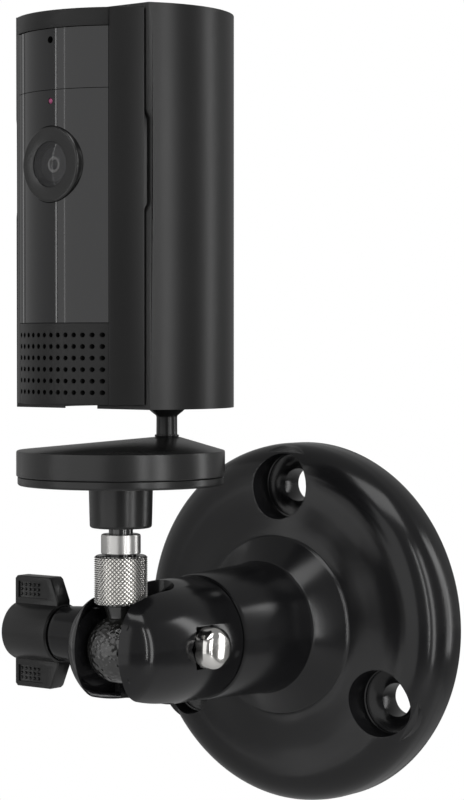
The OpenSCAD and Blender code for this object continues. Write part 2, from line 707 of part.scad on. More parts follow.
module status_led() color([0.7, 0.15, 0.3]) at_camera() translate([0, -front_r + 0.05, led_h])
    rotate([-90, 0, 0]) {
        cylinder(r = 0.6, h = 4);
        translate([0, 0, window_t + 0.05]) cylinder(r = 0.95, h = 2.4);
    }

module main_board() color([0.02, 0.2, 0.1]) at_camera() difference() {
    translate([-board_half, board_y, 14]) cube([board_half * 2, board_t, body_h - 23.46]);
    at_board_posts() translate([0, board_y - 1, 0]) rotate([-90, 0, 0]) cylinder(r = 1.1, h = 5);
}

module board_screws() color([0.6, 0.6, 0.62]) at_camera()
    at_board_posts() translate([0, board_y, 0]) rotate([90, 0, 0]) {
        cylinder(r = 1.7, h = 1.1);
        translate([0, 0, -4]) cylinder(r = 0.75, h = 4.1);
    }

module microphone() color([0.3, 0.3, 0.3]) at_camera()
    translate([-2, -frame_in + 0.15, mic_h - 1.5]) cube([4, 1.6, 3]);

module speaker_driver() color([0.08, 0.08, 0.08]) at_camera() {
    translate([-9, -speaker_y, 2.2]) cube([18, 4.2, 13]);
    translate([0, 4.2 - speaker_y, 8.7]) rotate([-90, 0, 0]) cylinder(r = 5, h = 3);
}

module speaker_clamp() color([0.05, 0.05, 0.05]) at_camera() difference() {
    translate([-10.4, 0.6 - speaker_y, floor_t]) cube([20.8, 4.9, 14.4]);
    translate([-9, -4 - speaker_y, 0]) cube([18, 8.2, 15.2]);
    translate([0, 2 - speaker_y, 8.7]) rotate([-90, 0, 0]) cylinder(r = 5.2, h = 8);
}

module antenna() color([0.75, 0.55, 0.3]) at_camera() intersection() {
    translate([0, 0, 30]) tube(cavity_r - 0.05, cavity_r - 0.45, 34);
    translate([0, -4, 0]) cube([40, 12, 80]);
}

module power_inlet() color([0.6, 0.6, 0.62]) at_camera() translate([-4.5, board_y + board_t, 15.4]) difference() {
    cube([9, cavity_r - board_y - board_t + 0.6, 3.2]);
    translate([0.4, 1.2, 0.4]) cube([8.2, 20, 2.4]);
}

wall_flange();
flange_neck();
flange_rim();
flange_posts();
swivel_screw();
swivel_washer();
clamp_arm();
clamp_bolt();
wing_spacer();
wing_nut();
wing_nut_insert();
ball_stud();
stud_collar();
knurled_lock_nut();
adapter_boss();
adapter_insert();
base_plate();
base_cover();
base_weight();
base_screws();
stem();
stem_clip();
socket_cup();
socket_ring();
rear_housing();
front_frame();
rear_cover();
upper_window();
lower_window();
speaker_grille();
lens_bezel();
lens_glass();
lens_barrel();
image_sensor();
sensor_board();
infrared_leds();
status_led();
main_board();
board_screws();
microphone();
speaker_driver();
speaker_clamp();
antenna();
power_inlet();
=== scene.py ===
"""Looks of a baby monitor camera on a ball-head wall mount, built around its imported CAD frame.

Sizes are written in millimetres and become metres where a mesh is made. The wall is the plane
y = 0, the arm and the lens point along -Y, and +Z is up.
"""

import logging
import math
from dataclasses import dataclass
from enum import Enum

import bmesh
import bpy
from mathutils import Matrix, Vector


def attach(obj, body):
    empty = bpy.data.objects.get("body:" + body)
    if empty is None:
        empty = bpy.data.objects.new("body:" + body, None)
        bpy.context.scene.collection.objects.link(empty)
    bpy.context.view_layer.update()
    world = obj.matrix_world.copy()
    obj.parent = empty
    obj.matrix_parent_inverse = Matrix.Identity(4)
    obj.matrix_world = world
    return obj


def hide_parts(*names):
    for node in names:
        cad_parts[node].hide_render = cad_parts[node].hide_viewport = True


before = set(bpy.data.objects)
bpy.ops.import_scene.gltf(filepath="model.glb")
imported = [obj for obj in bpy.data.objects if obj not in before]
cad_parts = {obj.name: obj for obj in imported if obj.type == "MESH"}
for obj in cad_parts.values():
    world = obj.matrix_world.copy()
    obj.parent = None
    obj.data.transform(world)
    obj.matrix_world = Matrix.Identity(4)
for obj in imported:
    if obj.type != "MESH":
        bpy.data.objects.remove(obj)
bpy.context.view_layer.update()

LOG = logging.getLogger("camera_looks")
MM = 0.001
MERGE_MM = 1e-5
MERGE_M = 2e-6
PHOTO_SIZE = (464, 800)

Object = bpy.types.Object
Material = bpy.types.Material
Tree = bpy.types.NodeTree
Node = bpy.types.Node
Socket = bpy.types.NodeSocket
Draft = bmesh.types.BMesh
Ring = list[bmesh.types.BMVert]
Point2 = tuple[float, float]
Point3 = tuple[float, float, float]


def turn(degrees: float, axis: str) -> Matrix:
    """A turn about an axis."""
    return Matrix.Rotation(math.radians(degrees), 4, axis)


def move(x: float, y: float, z: float) -> Matrix:
    """A shift."""
    return Matrix.Translation((x, y, z))


BOLT_Y = 54.5
HERE = Matrix.Identity(4)
FORWARD = turn(90, "X")
ALONG_X = turn(90, "Y")
SIDEWAYS = Matrix(((0, 0, 1, 0), (1, 0, 0, 0), (0, 1, 0, 0), (0, 0, 0, 1)))
AT_BALL = move(0, -66.6, 0)
AT_BOLT = move(0, -BOLT_Y, 0)
AT_STEM = move(0, -51.75, 0)
AT_CAMERA = move(0, -51.75, 50.22) @ turn(-2, "Z") @ move(0, -13, 0)


# ---------------------------------------------------------------- mesh making


def arc(centre: Point2, radius: float, start: float, end: float, steps: int = 12) -> list[Point2]:
    """Points on an arc.

    Args:
        centre: The arc's centre.
        radius: Its radius.
        start: Angle of the first point in degrees.
        end: Angle of the last point in degrees.
        steps: Number of straight steps between them.

    Returns:
        steps + 1 points.
    """
    return [(centre[0] + radius * math.cos(math.radians(start + (end - start) * i / steps)),
             centre[1] + radius * math.sin(math.radians(start + (end - start) * i / steps)))
            for i in range(steps + 1)]


def angle_at(across: float, radius: float) -> float:
    """Angle in degrees at which a circle reaches a distance from its middle."""
    return math.degrees(math.acos(across / radius))


def eased(points: list[Point2], steps: int = 8) -> list[Point2]:
    """A smooth curve through points, by Catmull-Rom.

    Args:
        points: The points that the curve passes through.
        steps: Number of straight steps between two of them.

    Returns:
        The points of the finer curve.
    """
    padded = [points[0]] + list(points) + [points[-1]]
    fine: list[Point2] = []
    for a, b, c, d in zip(padded, padded[1:], padded[2:], padded[3:]):
        for t in (i / steps for i in range(steps)):
            fine.append(tuple(
                0.5 * (2 * b[k] + (c[k] - a[k]) * t
                       + (2 * a[k] - 5 * b[k] + 4 * c[k] - d[k]) * t * t
                       + (3 * b[k] - a[k] - 3 * c[k] + d[k]) * t ** 3) for k in (0, 1)))
    return fine + [points[-1]]


def make_object(name: str, bm: Draft, place: Matrix) -> Object:
    """Turns a draft in millimetres into an object in metres with its place in its mesh.

    Args:
        name: The object's name.
        bm: The draft, which is freed.
        place: Where the draft goes, in millimetres.

    Returns:
        The new object, at the origin.
    """
    bmesh.ops.remove_doubles(bm, verts=bm.verts, dist=MERGE_MM)
    bmesh.ops.transform(bm, matrix=Matrix.Scale(MM, 4) @ place, verts=bm.verts)
    bmesh.ops.recalc_face_normals(bm, faces=bm.faces)
    mesh = bpy.data.meshes.new(name)
    bm.to_mesh(mesh)
    bm.free()
    obj = bpy.data.objects.new(name, mesh)
    bpy.context.collection.objects.link(obj)
    return obj


def ring(bm: Draft, radius: float, height: float, count: int, aside: float = 0.0) -> Ring:
    """Corners of a ring about +Z.

    Args:
        bm: The draft that they join.
        radius: The ring's radius. At zero there is one corner.
        height: Its height.
        count: Number of corners.
        aside: How far the ring's centre lies along +Y.

    Returns:
        The corners.
    """
    if radius < 1e-6:
        return [bm.verts.new((0, 0, height))]
    return [bm.verts.new((radius * math.cos(math.tau * i / count),
                          aside + radius * math.sin(math.tau * i / count), height))
            for i in range(count)]


def skin(bm: Draft, low: Ring, high: Ring) -> None:
    """Adds the faces between two rings.

    Args:
        bm: The draft.
        low: The first ring, or one corner.
        high: The second ring, or one corner.
    """
    count = max(len(low), len(high))
    for i in range(count if count > 1 else 0):
        j = (i + 1) % count
        if len(low) == 1:
            bm.faces.new((low[0], high[j], high[i]))
        elif len(high) == 1:
            bm.faces.new((low[i], low[j], high[0]))
        else:
            bm.faces.new((low[i], low[j], high[j], high[i]))


def lathe(name: str, profile: list[Point2], place: Matrix, segments: int = 144) -> Object:
    """Turns a profile about its own +Z axis.

    Args:
        name: The object's name.
        profile: Radius and height of each point. One that starts off the axis is closed here.
        place: Where the axis goes.
        segments: Number of steps around.

    Returns:
        The turned solid.
    """
    bm = bmesh.new()
    closing = profile[:1] if profile[0][0] > 0 else []
    rings = [ring(bm, radius, height, segments) for radius, height in profile + closing]
    for low, high in zip(rings, rings[1:]):
        skin(bm, low, high)
    return make_object(name, bm, place)


def prism(name: str, outline: list[Point2], low: float, high: float, place: Matrix) -> Object:
    """A straight solid over a closed outline.

    Args:
        name: The object's name.
        outline: The outline's corners.
        low: Height of its underside.
        high: Height of its top.
        place: Where it goes.

    Returns:
        The solid.
    """
    bm = bmesh.new()
    under = [bm.verts.new((x, y, low)) for x, y in outline]
    top = [bm.verts.new((x, y, high)) for x, y in outline]
    bm.faces.new(under)
    bm.faces.new(top)
    skin(bm, under, top)
    return make_object(name, bm, place)


def box(name: str, low: Point3, high: Point3, place: Matrix) -> Object:
    """A straight block between two corners."""
    outline = [(low[0], low[1]), (high[0], low[1]), (high[0], high[1]), (low[0], high[1])]
    return prism(name, outline, low[2], high[2], place)


def rod(name: str, radius: float, low: float, high: float, place: Matrix,
        segments: int = 72) -> Object:
    """A round rod between two heights."""
    return lathe(name, [(0, low), (radius, low), (radius, high), (0, high)], place, segments)


def baked(obj: Object) -> Object:
    """Applies an object's modifiers to its mesh.

    Args:
        obj: The object.

    Returns:
        The same object, with a plain mesh.
    """
    graph = bpy.context.evaluated_depsgraph_get()
    graph.update()
    mesh = bpy.data.meshes.new_from_object(obj.evaluated_get(graph), depsgraph=graph)
    obj.modifiers.clear()
    old = obj.data
    obj.data = mesh
    mesh.name = obj.name
    if old.users == 0:
        bpy.data.meshes.remove(old)
    return obj


class Join(Enum):
    """How two solids are combined."""

    CUT = "DIFFERENCE"
    FUSE = "UNION"


def combined(obj: Object, tools: list[Object], how: Join) -> Object:
    """Combines a solid with others, which are used up.

    Args:
        obj: The solid that stays.
        tools: The solids that cut it or join it.
        how: What is done.

    Returns:
        The same object with its new mesh.
    """
    for tool in tools:
        step = obj.modifiers.new("combine", "BOOLEAN")
        step.operation = how.value
        step.solver = "EXACT"
        step.object = tool
        baked(obj)
        mesh = tool.data
        bpy.data.objects.remove(tool)
        bpy.data.meshes.remove(mesh)
        bm = bmesh.new()
        bm.from_mesh(obj.data)
        bmesh.ops.remove_doubles(bm, verts=bm.verts, dist=MERGE_M)
        bmesh.ops.dissolve_degenerate(bm, edges=bm.edges, dist=MERGE_M)
        bm.to_mesh(obj.data)
        bm.free()
    return obj


def rounded(obj: Object, width: float, steps: int = 2, angle: float = 40) -> Object:
    """Rounds the sharp edges of a solid.

    Args:
        obj: The solid.
        width: Width of the rounding in millimetres.
        steps: Number of faces across it.
        angle: Edges sharper than this many degrees are rounded.

    Returns:
        The same object.
    """
    step = obj.modifiers.new("round", "BEVEL")
    step.width = width * MM
    step.segments = steps
    step.limit_method = "ANGLE"
    step.angle_limit = math.radians(angle)
    step.use_clamp_overlap = True
    step.harden_normals = False
    return baked(obj)


def shaded(obj: Object, angle: float = 28) -> Object:
    """Shades a mesh smooth, but keeps edges sharper than an angle.

    Args:
        obj: The object.
        angle: The angle in degrees.

    Returns:
        The same object.
    """
    obj.data.shade_smooth()
    obj.data.set_sharp_from_angle(angle=math.radians(angle))
    return obj


def copied_node(node: str) -> Object:
    """A merged, smooth copy of a CAD node's mesh.

    Args:
        node: The node's name.

    Returns:
        The copy.
    """
    bm = bmesh.new()
    bm.from_mesh(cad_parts[node].data)
    bmesh.ops.remove_doubles(bm, verts=bm.verts, dist=MERGE_M)
    mesh = bpy.data.meshes.new(node + "_piece")
    bm.to_mesh(mesh)
    bm.free()
    obj = bpy.data.objects.new(node + "_piece", mesh)
    bpy.context.collection.objects.link(obj)
    return shaded(obj, 30)


# ---------------------------------------------------------------- node trees and finishes


@dataclass
class NodePen:
    """Adds and links nodes in one tree."""

    tree: Tree

    def add(self, kind: str, inputs: dict[str, object] | None = None, **settings: object) -> Node:
        """Adds a node.

        Args:
            kind: The node's type name.
            inputs: Values or output sockets, by the input's name or number.
            **settings: Properties of the node.

        Returns:
            The new node.
        """
        node = self.tree.nodes.new(kind)
        for key, value in settings.items():
            setattr(node, key, value)
        for key, value in (inputs or {}).items():
            socket = node.inputs[int(key)] if key.isdigit() else node.inputs[key]
            if isinstance(value, Socket):
                self.tree.links.new(value, socket)
            else:
                socket.default_value = value
        return node

    def math(self, how: str, a: object, b: object = 0.0) -> Socket:
        """The result of one Math node."""
        return self.add("ShaderNodeMath", {"0": a, "1": b}, operation=how).outputs[0]

    def vector(self, **parts: object) -> Socket:
        """A vector put together from X, Y and Z."""
        return self.add("ShaderNodeCombineXYZ", parts).outputs[0]

    def parts(self, vector: Socket) -> bpy.types.bpy_prop_collection:
        """X, Y and Z of a vector, by name."""
        return self.add("ShaderNodeSeparateXYZ", {"Vector": vector}).outputs

    def blend(self, factor: Socket, first: object, second: object) -> Socket:
        """A colour between two."""
        return self.add("ShaderNodeMix", {"0": factor, "6": first, "7": second},
                        data_type="RGBA").outputs[2]

    def result(self, kind: str, **inputs: object) -> Socket:
        """Adds a node whose first output is all that is used."""
        return self.add(kind, inputs).outputs[0]


def cleared_pen(owner: Material | bpy.types.World) -> NodePen:
    """Empties the tree of a material or a world.

    Args:
        owner: The material or the world.

    Returns:
        A pen for its tree.
    """
    owner.use_nodes = True
    owner.node_tree.nodes.clear()
    return NodePen(owner.node_tree)


def started_tree(name: str, kind: str, inputs: dict[str, object],
                 outputs: dict[str, str]) -> tuple[NodePen, bpy.types.bpy_prop_collection]:
    """Starts a node tree with named sockets.

    Args:
        name: The tree's name.
        kind: Its type name.
        inputs: The default value of each input, or the kind of its socket.
        outputs: The kind of each output's socket.

    Returns:
        A pen for the tree, and its inputs by name.
    """
    tree = bpy.data.node_groups.new(name, kind)
    for key, value in inputs.items():
        plain = isinstance(value, str)
        sort = value if plain else "Int" if isinstance(value, int) else "Float"
        socket = tree.interface.new_socket(key, in_out="INPUT", socket_type="NodeSocket" + sort)
        if not plain:
            socket.default_value = value
    for key, sort in outputs.items():
        tree.interface.new_socket(key, in_out="OUTPUT", socket_type="NodeSocket" + sort)
    pen = NodePen(tree)
    return pen, pen.add("NodeGroupInput").outputs


class Effects:
    """The shader groups that several finishes share. Each is built once."""

    def __init__(self) -> None:
        """Builds the groups."""
        self.grain = self._moulded_grain()
        self.marks = self._handling_marks()
        self.turning = self._turning_lines()

    @staticmethod
    def _moulded_grain() -> Tree:
        """Fine grain of a moulded or powder-coated surface, as a height and a tone.

        Returns:
            The group.
        """
        pen, given = started_tree("moulded_grain", "ShaderNodeTree",
                                  {"Place": "Vector", "Scale": 2500.0, "Tone Scale": 60.0},
                                  {"Height": "Float", "Tone": "Float"})
        fine = pen.add("ShaderNodeTexNoise", {"Vector": given["Place"], "Scale": given["Scale"],
                                              "Detail": 3.0, "Roughness": 0.55})
        slow = pen.add("ShaderNodeTexNoise", {"Vector": given["Place"],
                                              "Scale": given["Tone Scale"], "Detail": 2.0})
        pen.add("NodeGroupOutput", {"Height": fine.outputs[0], "Tone": slow.outputs[0]})
        return pen.tree

    @staticmethod
    def _handling_marks() -> Tree:
        """Faint smears and hairlines of a handled surface, as a roughness.

        Returns:
            The group.
        """
        pen, given = started_tree("handling_marks", "ShaderNodeTree",
                                  {"Place": "Vector", "Scale": 90.0, "Amount": 0.05, "Base": 0.3},
                                  {"Roughness": "Float"})
        long = pen.result("ShaderNodeMapping", Vector=given["Place"], Scale=(1.0, 1.0, 0.35))
        smear = pen.add("ShaderNodeTexNoise", {"Vector": long, "Scale": given["Scale"],
                                               "Detail": 5.0, "Roughness": 0.6,
                                               "Distortion": 0.4})
        change = pen.math("MULTIPLY", pen.math("SUBTRACT", smear.outputs[0], 0.5), given["Amount"])
        pen.add("NodeGroupOutput", {"Roughness": pen.math("ADD", change, given["Base"])})
        return pen.tree

    @staticmethod
    def _turning_lines() -> Tree:
        """Fine rings that a lathe tool leaves, along the Z of the place given.

        Returns:
            The group.
        """
        pen, given = started_tree("turning_lines", "ShaderNodeTree",
                                  {"Place": "Vector", "Pitch": 0.00008, "Drift Scale": 400.0},
                                  {"Height": "Float"})
        wave = pen.math("SINE", pen.math("DIVIDE", pen.parts(given["Place"])["Z"], given["Pitch"]))
        drift = pen.add("ShaderNodeTexNoise", {"Vector": given["Place"],
                                               "Scale": given["Drift Scale"]})
        pen.add("NodeGroupOutput", {"Height": pen.math("MULTIPLY", wave, drift.outputs[0])})
        return pen.tree


@dataclass(frozen=True)
class Relief:
    """What a surface's Bump node is given."""

    strength: float
    distance: float
    height: Socket


@dataclass(frozen=True)
class Finish:
    """A surface with fine grain and faint marks. The other finishes change it."""

    name: str
    colour: Point3
    tint: Point3
    roughness: float
    marks: float = 0.05
    grain_scale: float = 2500.0
    grain_depth: float = 0.05
    grain_height: float = 0.0001
    metallic: float = 0.0
    specular: float = 0.5
    alpha: float = 1.0
    glow: float = 0.0

    def relief(self, pen: NodePen, place: Socket, grain: Socket, effects: Effects) -> Relief:
        """The surface's small heights, which here are its grain."""
        return Relief(self.grain_depth, self.grain_height, grain)

    def shade(self, pen: NodePen, place: Socket, mottled: Socket) -> Socket:
        """The surface's colour, which here is the mottled one."""
        return mottled

    def build(self, effects: Effects) -> Material:
        """Makes the material.

        Args:
            effects: The shared shader groups.

        Returns:
            The finished material.
        """
        material = bpy.data.materials.new(self.name)
        pen = cleared_pen(material)
        place = pen.add("ShaderNodeTexCoord").outputs["Object"]
        grain = pen.add("ShaderNodeGroup", {"Place": place, "Scale": self.grain_scale},
                        node_tree=effects.grain).outputs
        marks = pen.add("ShaderNodeGroup", {"Place": place, "Amount": self.marks,
                                            "Base": self.roughness}, node_tree=effects.marks)
        mottled = pen.blend(grain["Tone"], (*self.colour, 1.0), (*self.tint, 1.0))
        relief = self.relief(pen, place, grain["Height"], effects)
        bump = pen.add("ShaderNodeBump", {"Strength": relief.strength,
                                          "Distance": relief.distance, "Height": relief.height})
        shader = pen.add("ShaderNodeBsdfPrincipled", {
            "Base Color": self.shade(pen, place, mottled), "Metallic": self.metallic,
            "Roughness": marks.outputs["Roughness"], "Specular IOR Level": self.specular,
            "Alpha": self.alpha, "Normal": bump.outputs[0]})
        if self.glow:
            shader.inputs["Emission Color"].default_value = (*self.tint, 1.0)
            shader.inputs["Emission Strength"].default_value = self.glow
        pen.add("ShaderNodeOutputMaterial", {"Surface": shader.outputs[0]})
        return material


@dataclass(frozen=True)
class TurnedMetal(Finish):
    """Metal with fine lathe rings about Z."""

    ring_depth: float = 0.2
    ring_height: float = 0.00005

    def relief(self, pen: NodePen, place: Socket, grain: Socket, effects: Effects) -> Relief:
        """The rings."""
        rings = pen.add("ShaderNodeGroup", {"Place": place}, node_tree=effects.turning)
        return Relief(self.ring_depth, self.ring_height, rings.outputs["Height"])


@dataclass(frozen=True)
class StippledBlack(Finish):
    """Black metal with small raised stipples, as on the clamp ball, but not on its neck."""

    ball_top: float = 0.0065
    fade: float = 0.0005
    stipple_scale: float = 1100.0
    stipple_depth: float = 0.9
    stipple_height: float = 0.0004
    cell_top: float = 0.6

    def relief(self, pen: NodePen, place: Socket, grain: Socket, effects: Effects) -> Relief:
        """Makes the stipples, which fade out above the ball.

        Args:
            pen: The pen for the material's tree.
            place: The object coordinates.
            grain: The grain's height, which is not used.
            effects: The shared shader groups, which are not used.

        Returns:
            What the Bump node is given.
        """
        cells = pen.add("ShaderNodeTexVoronoi", {"Vector": place, "Scale": self.stipple_scale},
                        feature="SMOOTH_F1")
        ball = pen.add("ShaderNodeMapRange", {
            "Value": pen.parts(place)["Z"], "From Min": self.ball_top,
            "From Max": self.ball_top - self.fade})
        height = pen.math("SUBTRACT", self.cell_top, cells.outputs["Distance"])
        return Relief(self.stipple_depth, self.stipple_height,
                      pen.math("MULTIPLY", height, ball.outputs[0]))


@dataclass(frozen=True)
class StreakedGloss(Finish):
    """Glossy sheet that is very slightly wavy across, so that reflections run in streaks."""

    streak_depth: float = 0.012
    streak_height: float = 0.0006
    stretch: Point3 = (420.0, 420.0, 9.0)

    def relief(self, pen: NodePen, place: Socket, grain: Socket, effects: Effects) -> Relief:
        """Makes the waves.

        Args:
            pen: The pen for the material's tree.
            place: The object coordinates.
            grain: The grain's height, which is not used.
            effects: The shared shader groups, which are not used.

        Returns:
            What the Bump node is given.
        """
        tall = pen.result("ShaderNodeMapping", Vector=place, Scale=self.stretch)
        waves = pen.add("ShaderNodeTexNoise", {"Vector": tall, "Scale": 1.0, "Detail": 2.0})
        return Relief(self.streak_depth, self.streak_height, waves.outputs[0])


@dataclass(frozen=True)
class KnurledSteel(Finish):
    """Steel with painted shade in its knurled grooves, found by their distance from the stud's
    axis.
    """

    axis_y: float = -0.0666
    root: float = 0.00498
    tip: float = 0.0052
    # colour of the painted shade in the knurl's grooves
    groove_shade: Point3 = (0.1, 0.1, 0.096)

    def shade(self, pen: NodePen, place: Socket, mottled: Socket) -> Socket:
        """Paints shade into the grooves, and leaves bare steel on the points.

        Args:
            pen: The pen for the material's tree.
            place: The object coordinates.
            mottled: The colour of the steel.

        Returns:
            The colour.
        """
        at = pen.parts(place)
        y = pen.math("SUBTRACT", at["Y"], self.axis_y)
        squares = pen.math("ADD", pen.math("MULTIPLY", at["X"], at["X"]),
                           pen.math("MULTIPLY", y, y))
        high = pen.add("ShaderNodeMapRange", {"Value": pen.math("SQRT", squares),
                                              "From Min": self.root, "From Max": self.tip})
        # painted shade: the grooves get the dark colour, the points keep the steel's own
        return pen.blend(high.outputs[0], (*self.groove_shade, 1.0), mottled)


class Surface(Enum):
    """Every finish on the object."""

    MOUNT = Finish("satin_black_mount", (0.005, 0.005, 0.0055), (0.008, 0.008, 0.0085), 0.19,
                   grain_depth=0.03, specular=0.3)
    ARM = Finish("satin_black_arm", (0.005, 0.005, 0.0055), (0.008, 0.008, 0.0085), 0.15,
                 grain_depth=0.02, specular=0.3)
    WING = Finish("black_wing_plastic", (0.007, 0.007, 0.007), (0.01, 0.01, 0.01), 0.3,
                  specular=0.35)
    SHELL = Finish("black_camera_shell", (0.007, 0.007, 0.007), (0.01, 0.01, 0.01), 0.36,
                   specular=0.22)
    STAND = Finish("black_stand", (0.009, 0.009, 0.009), (0.012, 0.012, 0.012), 0.28,
                   grain_depth=0.03, specular=0.35)
    WINDOW = StreakedGloss("smoked_window", (0.003, 0.003, 0.0035), (0.005, 0.005, 0.0055), 0.06,
                           marks=0.02)
    INNER = Finish("moulded_inner", (0.01, 0.01, 0.01), (0.015, 0.015, 0.015), 0.5)
    COVER = Finish("black_rear_cover", (0.005, 0.005, 0.005), (0.008, 0.008, 0.008), 0.33,
                   grain_depth=0.03, specular=0.3)
    BEZEL = Finish("lens_bezel_black", (0.006, 0.006, 0.006), (0.009, 0.009, 0.009), 0.2,
                   grain_depth=0.0, specular=0.4)
    LENS_FLOOR = Finish("lens_floor", (0.036, 0.036, 0.036), (0.046, 0.046, 0.046), 0.4,
                        grain_depth=0.01)
    IRIS = Finish("iris_ring", (0.62, 0.62, 0.6), (0.7, 0.7, 0.68), 0.4, metallic=1.0)
    BALL = StippledBlack("stippled_ball", (0.008, 0.008, 0.008), (0.013, 0.013, 0.012), 0.16,
                         specular=0.8)
    STEEL = TurnedMetal("turned_steel", (0.4, 0.395, 0.385), (0.48, 0.475, 0.465), 0.3,
                        metallic=1.0, ring_depth=0.04)
    # knurled steel, with painted shade in the knurl's grooves
    NUT = KnurledSteel("knurled_steel", (0.8, 0.79, 0.77), (0.88, 0.87, 0.85), 0.2, marks=0.1,
                       metallic=1.0)
    CHROME = Finish("polished_chrome", (0.6, 0.59, 0.57), (0.68, 0.67, 0.65), 0.12,
                    grain_depth=0.02, metallic=1.0)
    BRASS = TurnedMetal("turned_brass", (0.7, 0.52, 0.25), (0.8, 0.62, 0.32), 0.3, metallic=1.0)
    BOARD = Finish("green_board", (0.01, 0.08, 0.04), (0.02, 0.12, 0.06), 0.35)
    SENSOR = Finish("sensor_black", (0.01, 0.01, 0.02), (0.02, 0.02, 0.04), 0.1)
    GLASS = Finish("coated_glass", (0.02, 0.02, 0.021), (0.026, 0.026, 0.028), 0.05, marks=0.0,
                   grain_depth=0.0, alpha=0.42)
    LIGHT = Finish("status_light", (0.12, 0.02, 0.06), (0.3, 0.04, 0.13), 0.3, glow=0.06)


class Palette:
    """Builds each material once, when it is first needed."""

    def __init__(self) -> None:
        """Starts with no material."""
        self.effects = Effects()
        self.made: dict[Surface, Material] = {}

    def get(self, surface: Surface) -> Material:
        """Finds the material of a surface, or builds it.

        Args:
            surface: The surface.

        Returns:
            Its material.
        """
        if surface not in self.made:
            self.made[surface] = surface.value.build(self.effects)
        return self.made[surface]


PALETTE = Palette()


# ---------------------------------------------------------------- repeated detail


class PatternTree:
    """A Geometry Nodes tree that copies one small shape over rows and columns."""

    def __init__(self, name: str, sizes: dict[str, float], columns: str = "Columns") -> None:
        """Starts the tree.

        Args:
            name: The tree's name.
            sizes: Default value of each size and count.
            columns: Name of the count of copies in a row.
        """
        self.pen, self.given = started_tree(
            name, "GeometryNodeTree",
            {"Geometry": "Geometry", **sizes, "Origin": "Vector", "Turn": "Vector",
             "Finish": "Material"}, {"Geometry": "Geometry"})
        self.columns, self.rows = self.given[columns], self.given["Rows"]
        index = self.pen.add("GeometryNodeInputIndex").outputs[0]
        self.row = self.pen.math("FLOOR", self.pen.math("DIVIDE", index, self.columns))
        self.column = self.pen.math("SUBTRACT", index,
                                    self.pen.math("MULTIPLY", self.row, self.columns))

    def centred(self, number: Socket, count: Socket, pitch: str) -> Socket:
        """How far a row or column lies from the middle one, at a named pitch."""
        middle = self.pen.math("MULTIPLY", self.pen.math("SUBTRACT", count, 1.0), 0.5)
        return self.pen.math("MULTIPLY", self.pen.math("SUBTRACT", number, middle),
                             self.given[pitch])

    def spread(self, shape: Socket, spot: Socket, **how: Socket) -> Socket:
        """Copies a shape to each spot, and moves the copies from millimetres to their place.

        Args:
            shape: The shape.
            spot: Where each copy goes about the pattern's own origin.
            **how: Rotation and Scale of the copies.

        Returns:
            The copies as real geometry in metres.
        """
        count = self.pen.math("MULTIPLY", self.columns, self.rows)
        points = self.pen.result("GeometryNodePoints", Count=count)
        placed = self.pen.result("GeometryNodeSetPosition", Geometry=points, Position=spot)
        copies = self.pen.result("GeometryNodeInstanceOnPoints", Points=placed, Instance=shape,
                                **how)
        real = self.pen.result("GeometryNodeRealizeInstances", Geometry=copies)
        facing = self.pen.result("FunctionNodeEulerToRotation", Euler=self.given["Turn"])
        return self.pen.result("GeometryNodeTransform", Geometry=real, Rotation=facing,
                              Translation=self.given["Origin"], Scale=(MM, MM, MM))

    def joined(self, copies: Socket) -> Tree:
        """Ends the tree with the copies joined to the object's own geometry.

        Args:
            copies: The copies.

        Returns:
            The finished tree.
        """
        both = self.pen.add("GeometryNodeJoinGeometry")
        for part in (self.given["Geometry"], copies):
            self.pen.tree.links.new(part, both.inputs[0])
        return self.ended(both.outputs[0])

    def ended(self, geometry: Socket) -> Tree:
        """Ends the tree in Realize Instances and Set Material.

        Args:
            geometry: The tree's result.

        Returns:
            The finished tree.
        """
        real = self.pen.result("GeometryNodeRealizeInstances", Geometry=geometry)
        dressed = self.pen.result("GeometryNodeSetMaterial", Geometry=real,
                                 Material=self.given["Finish"])
        self.pen.add("NodeGroupOutput", {"Geometry": dressed})
        return self.pen.tree


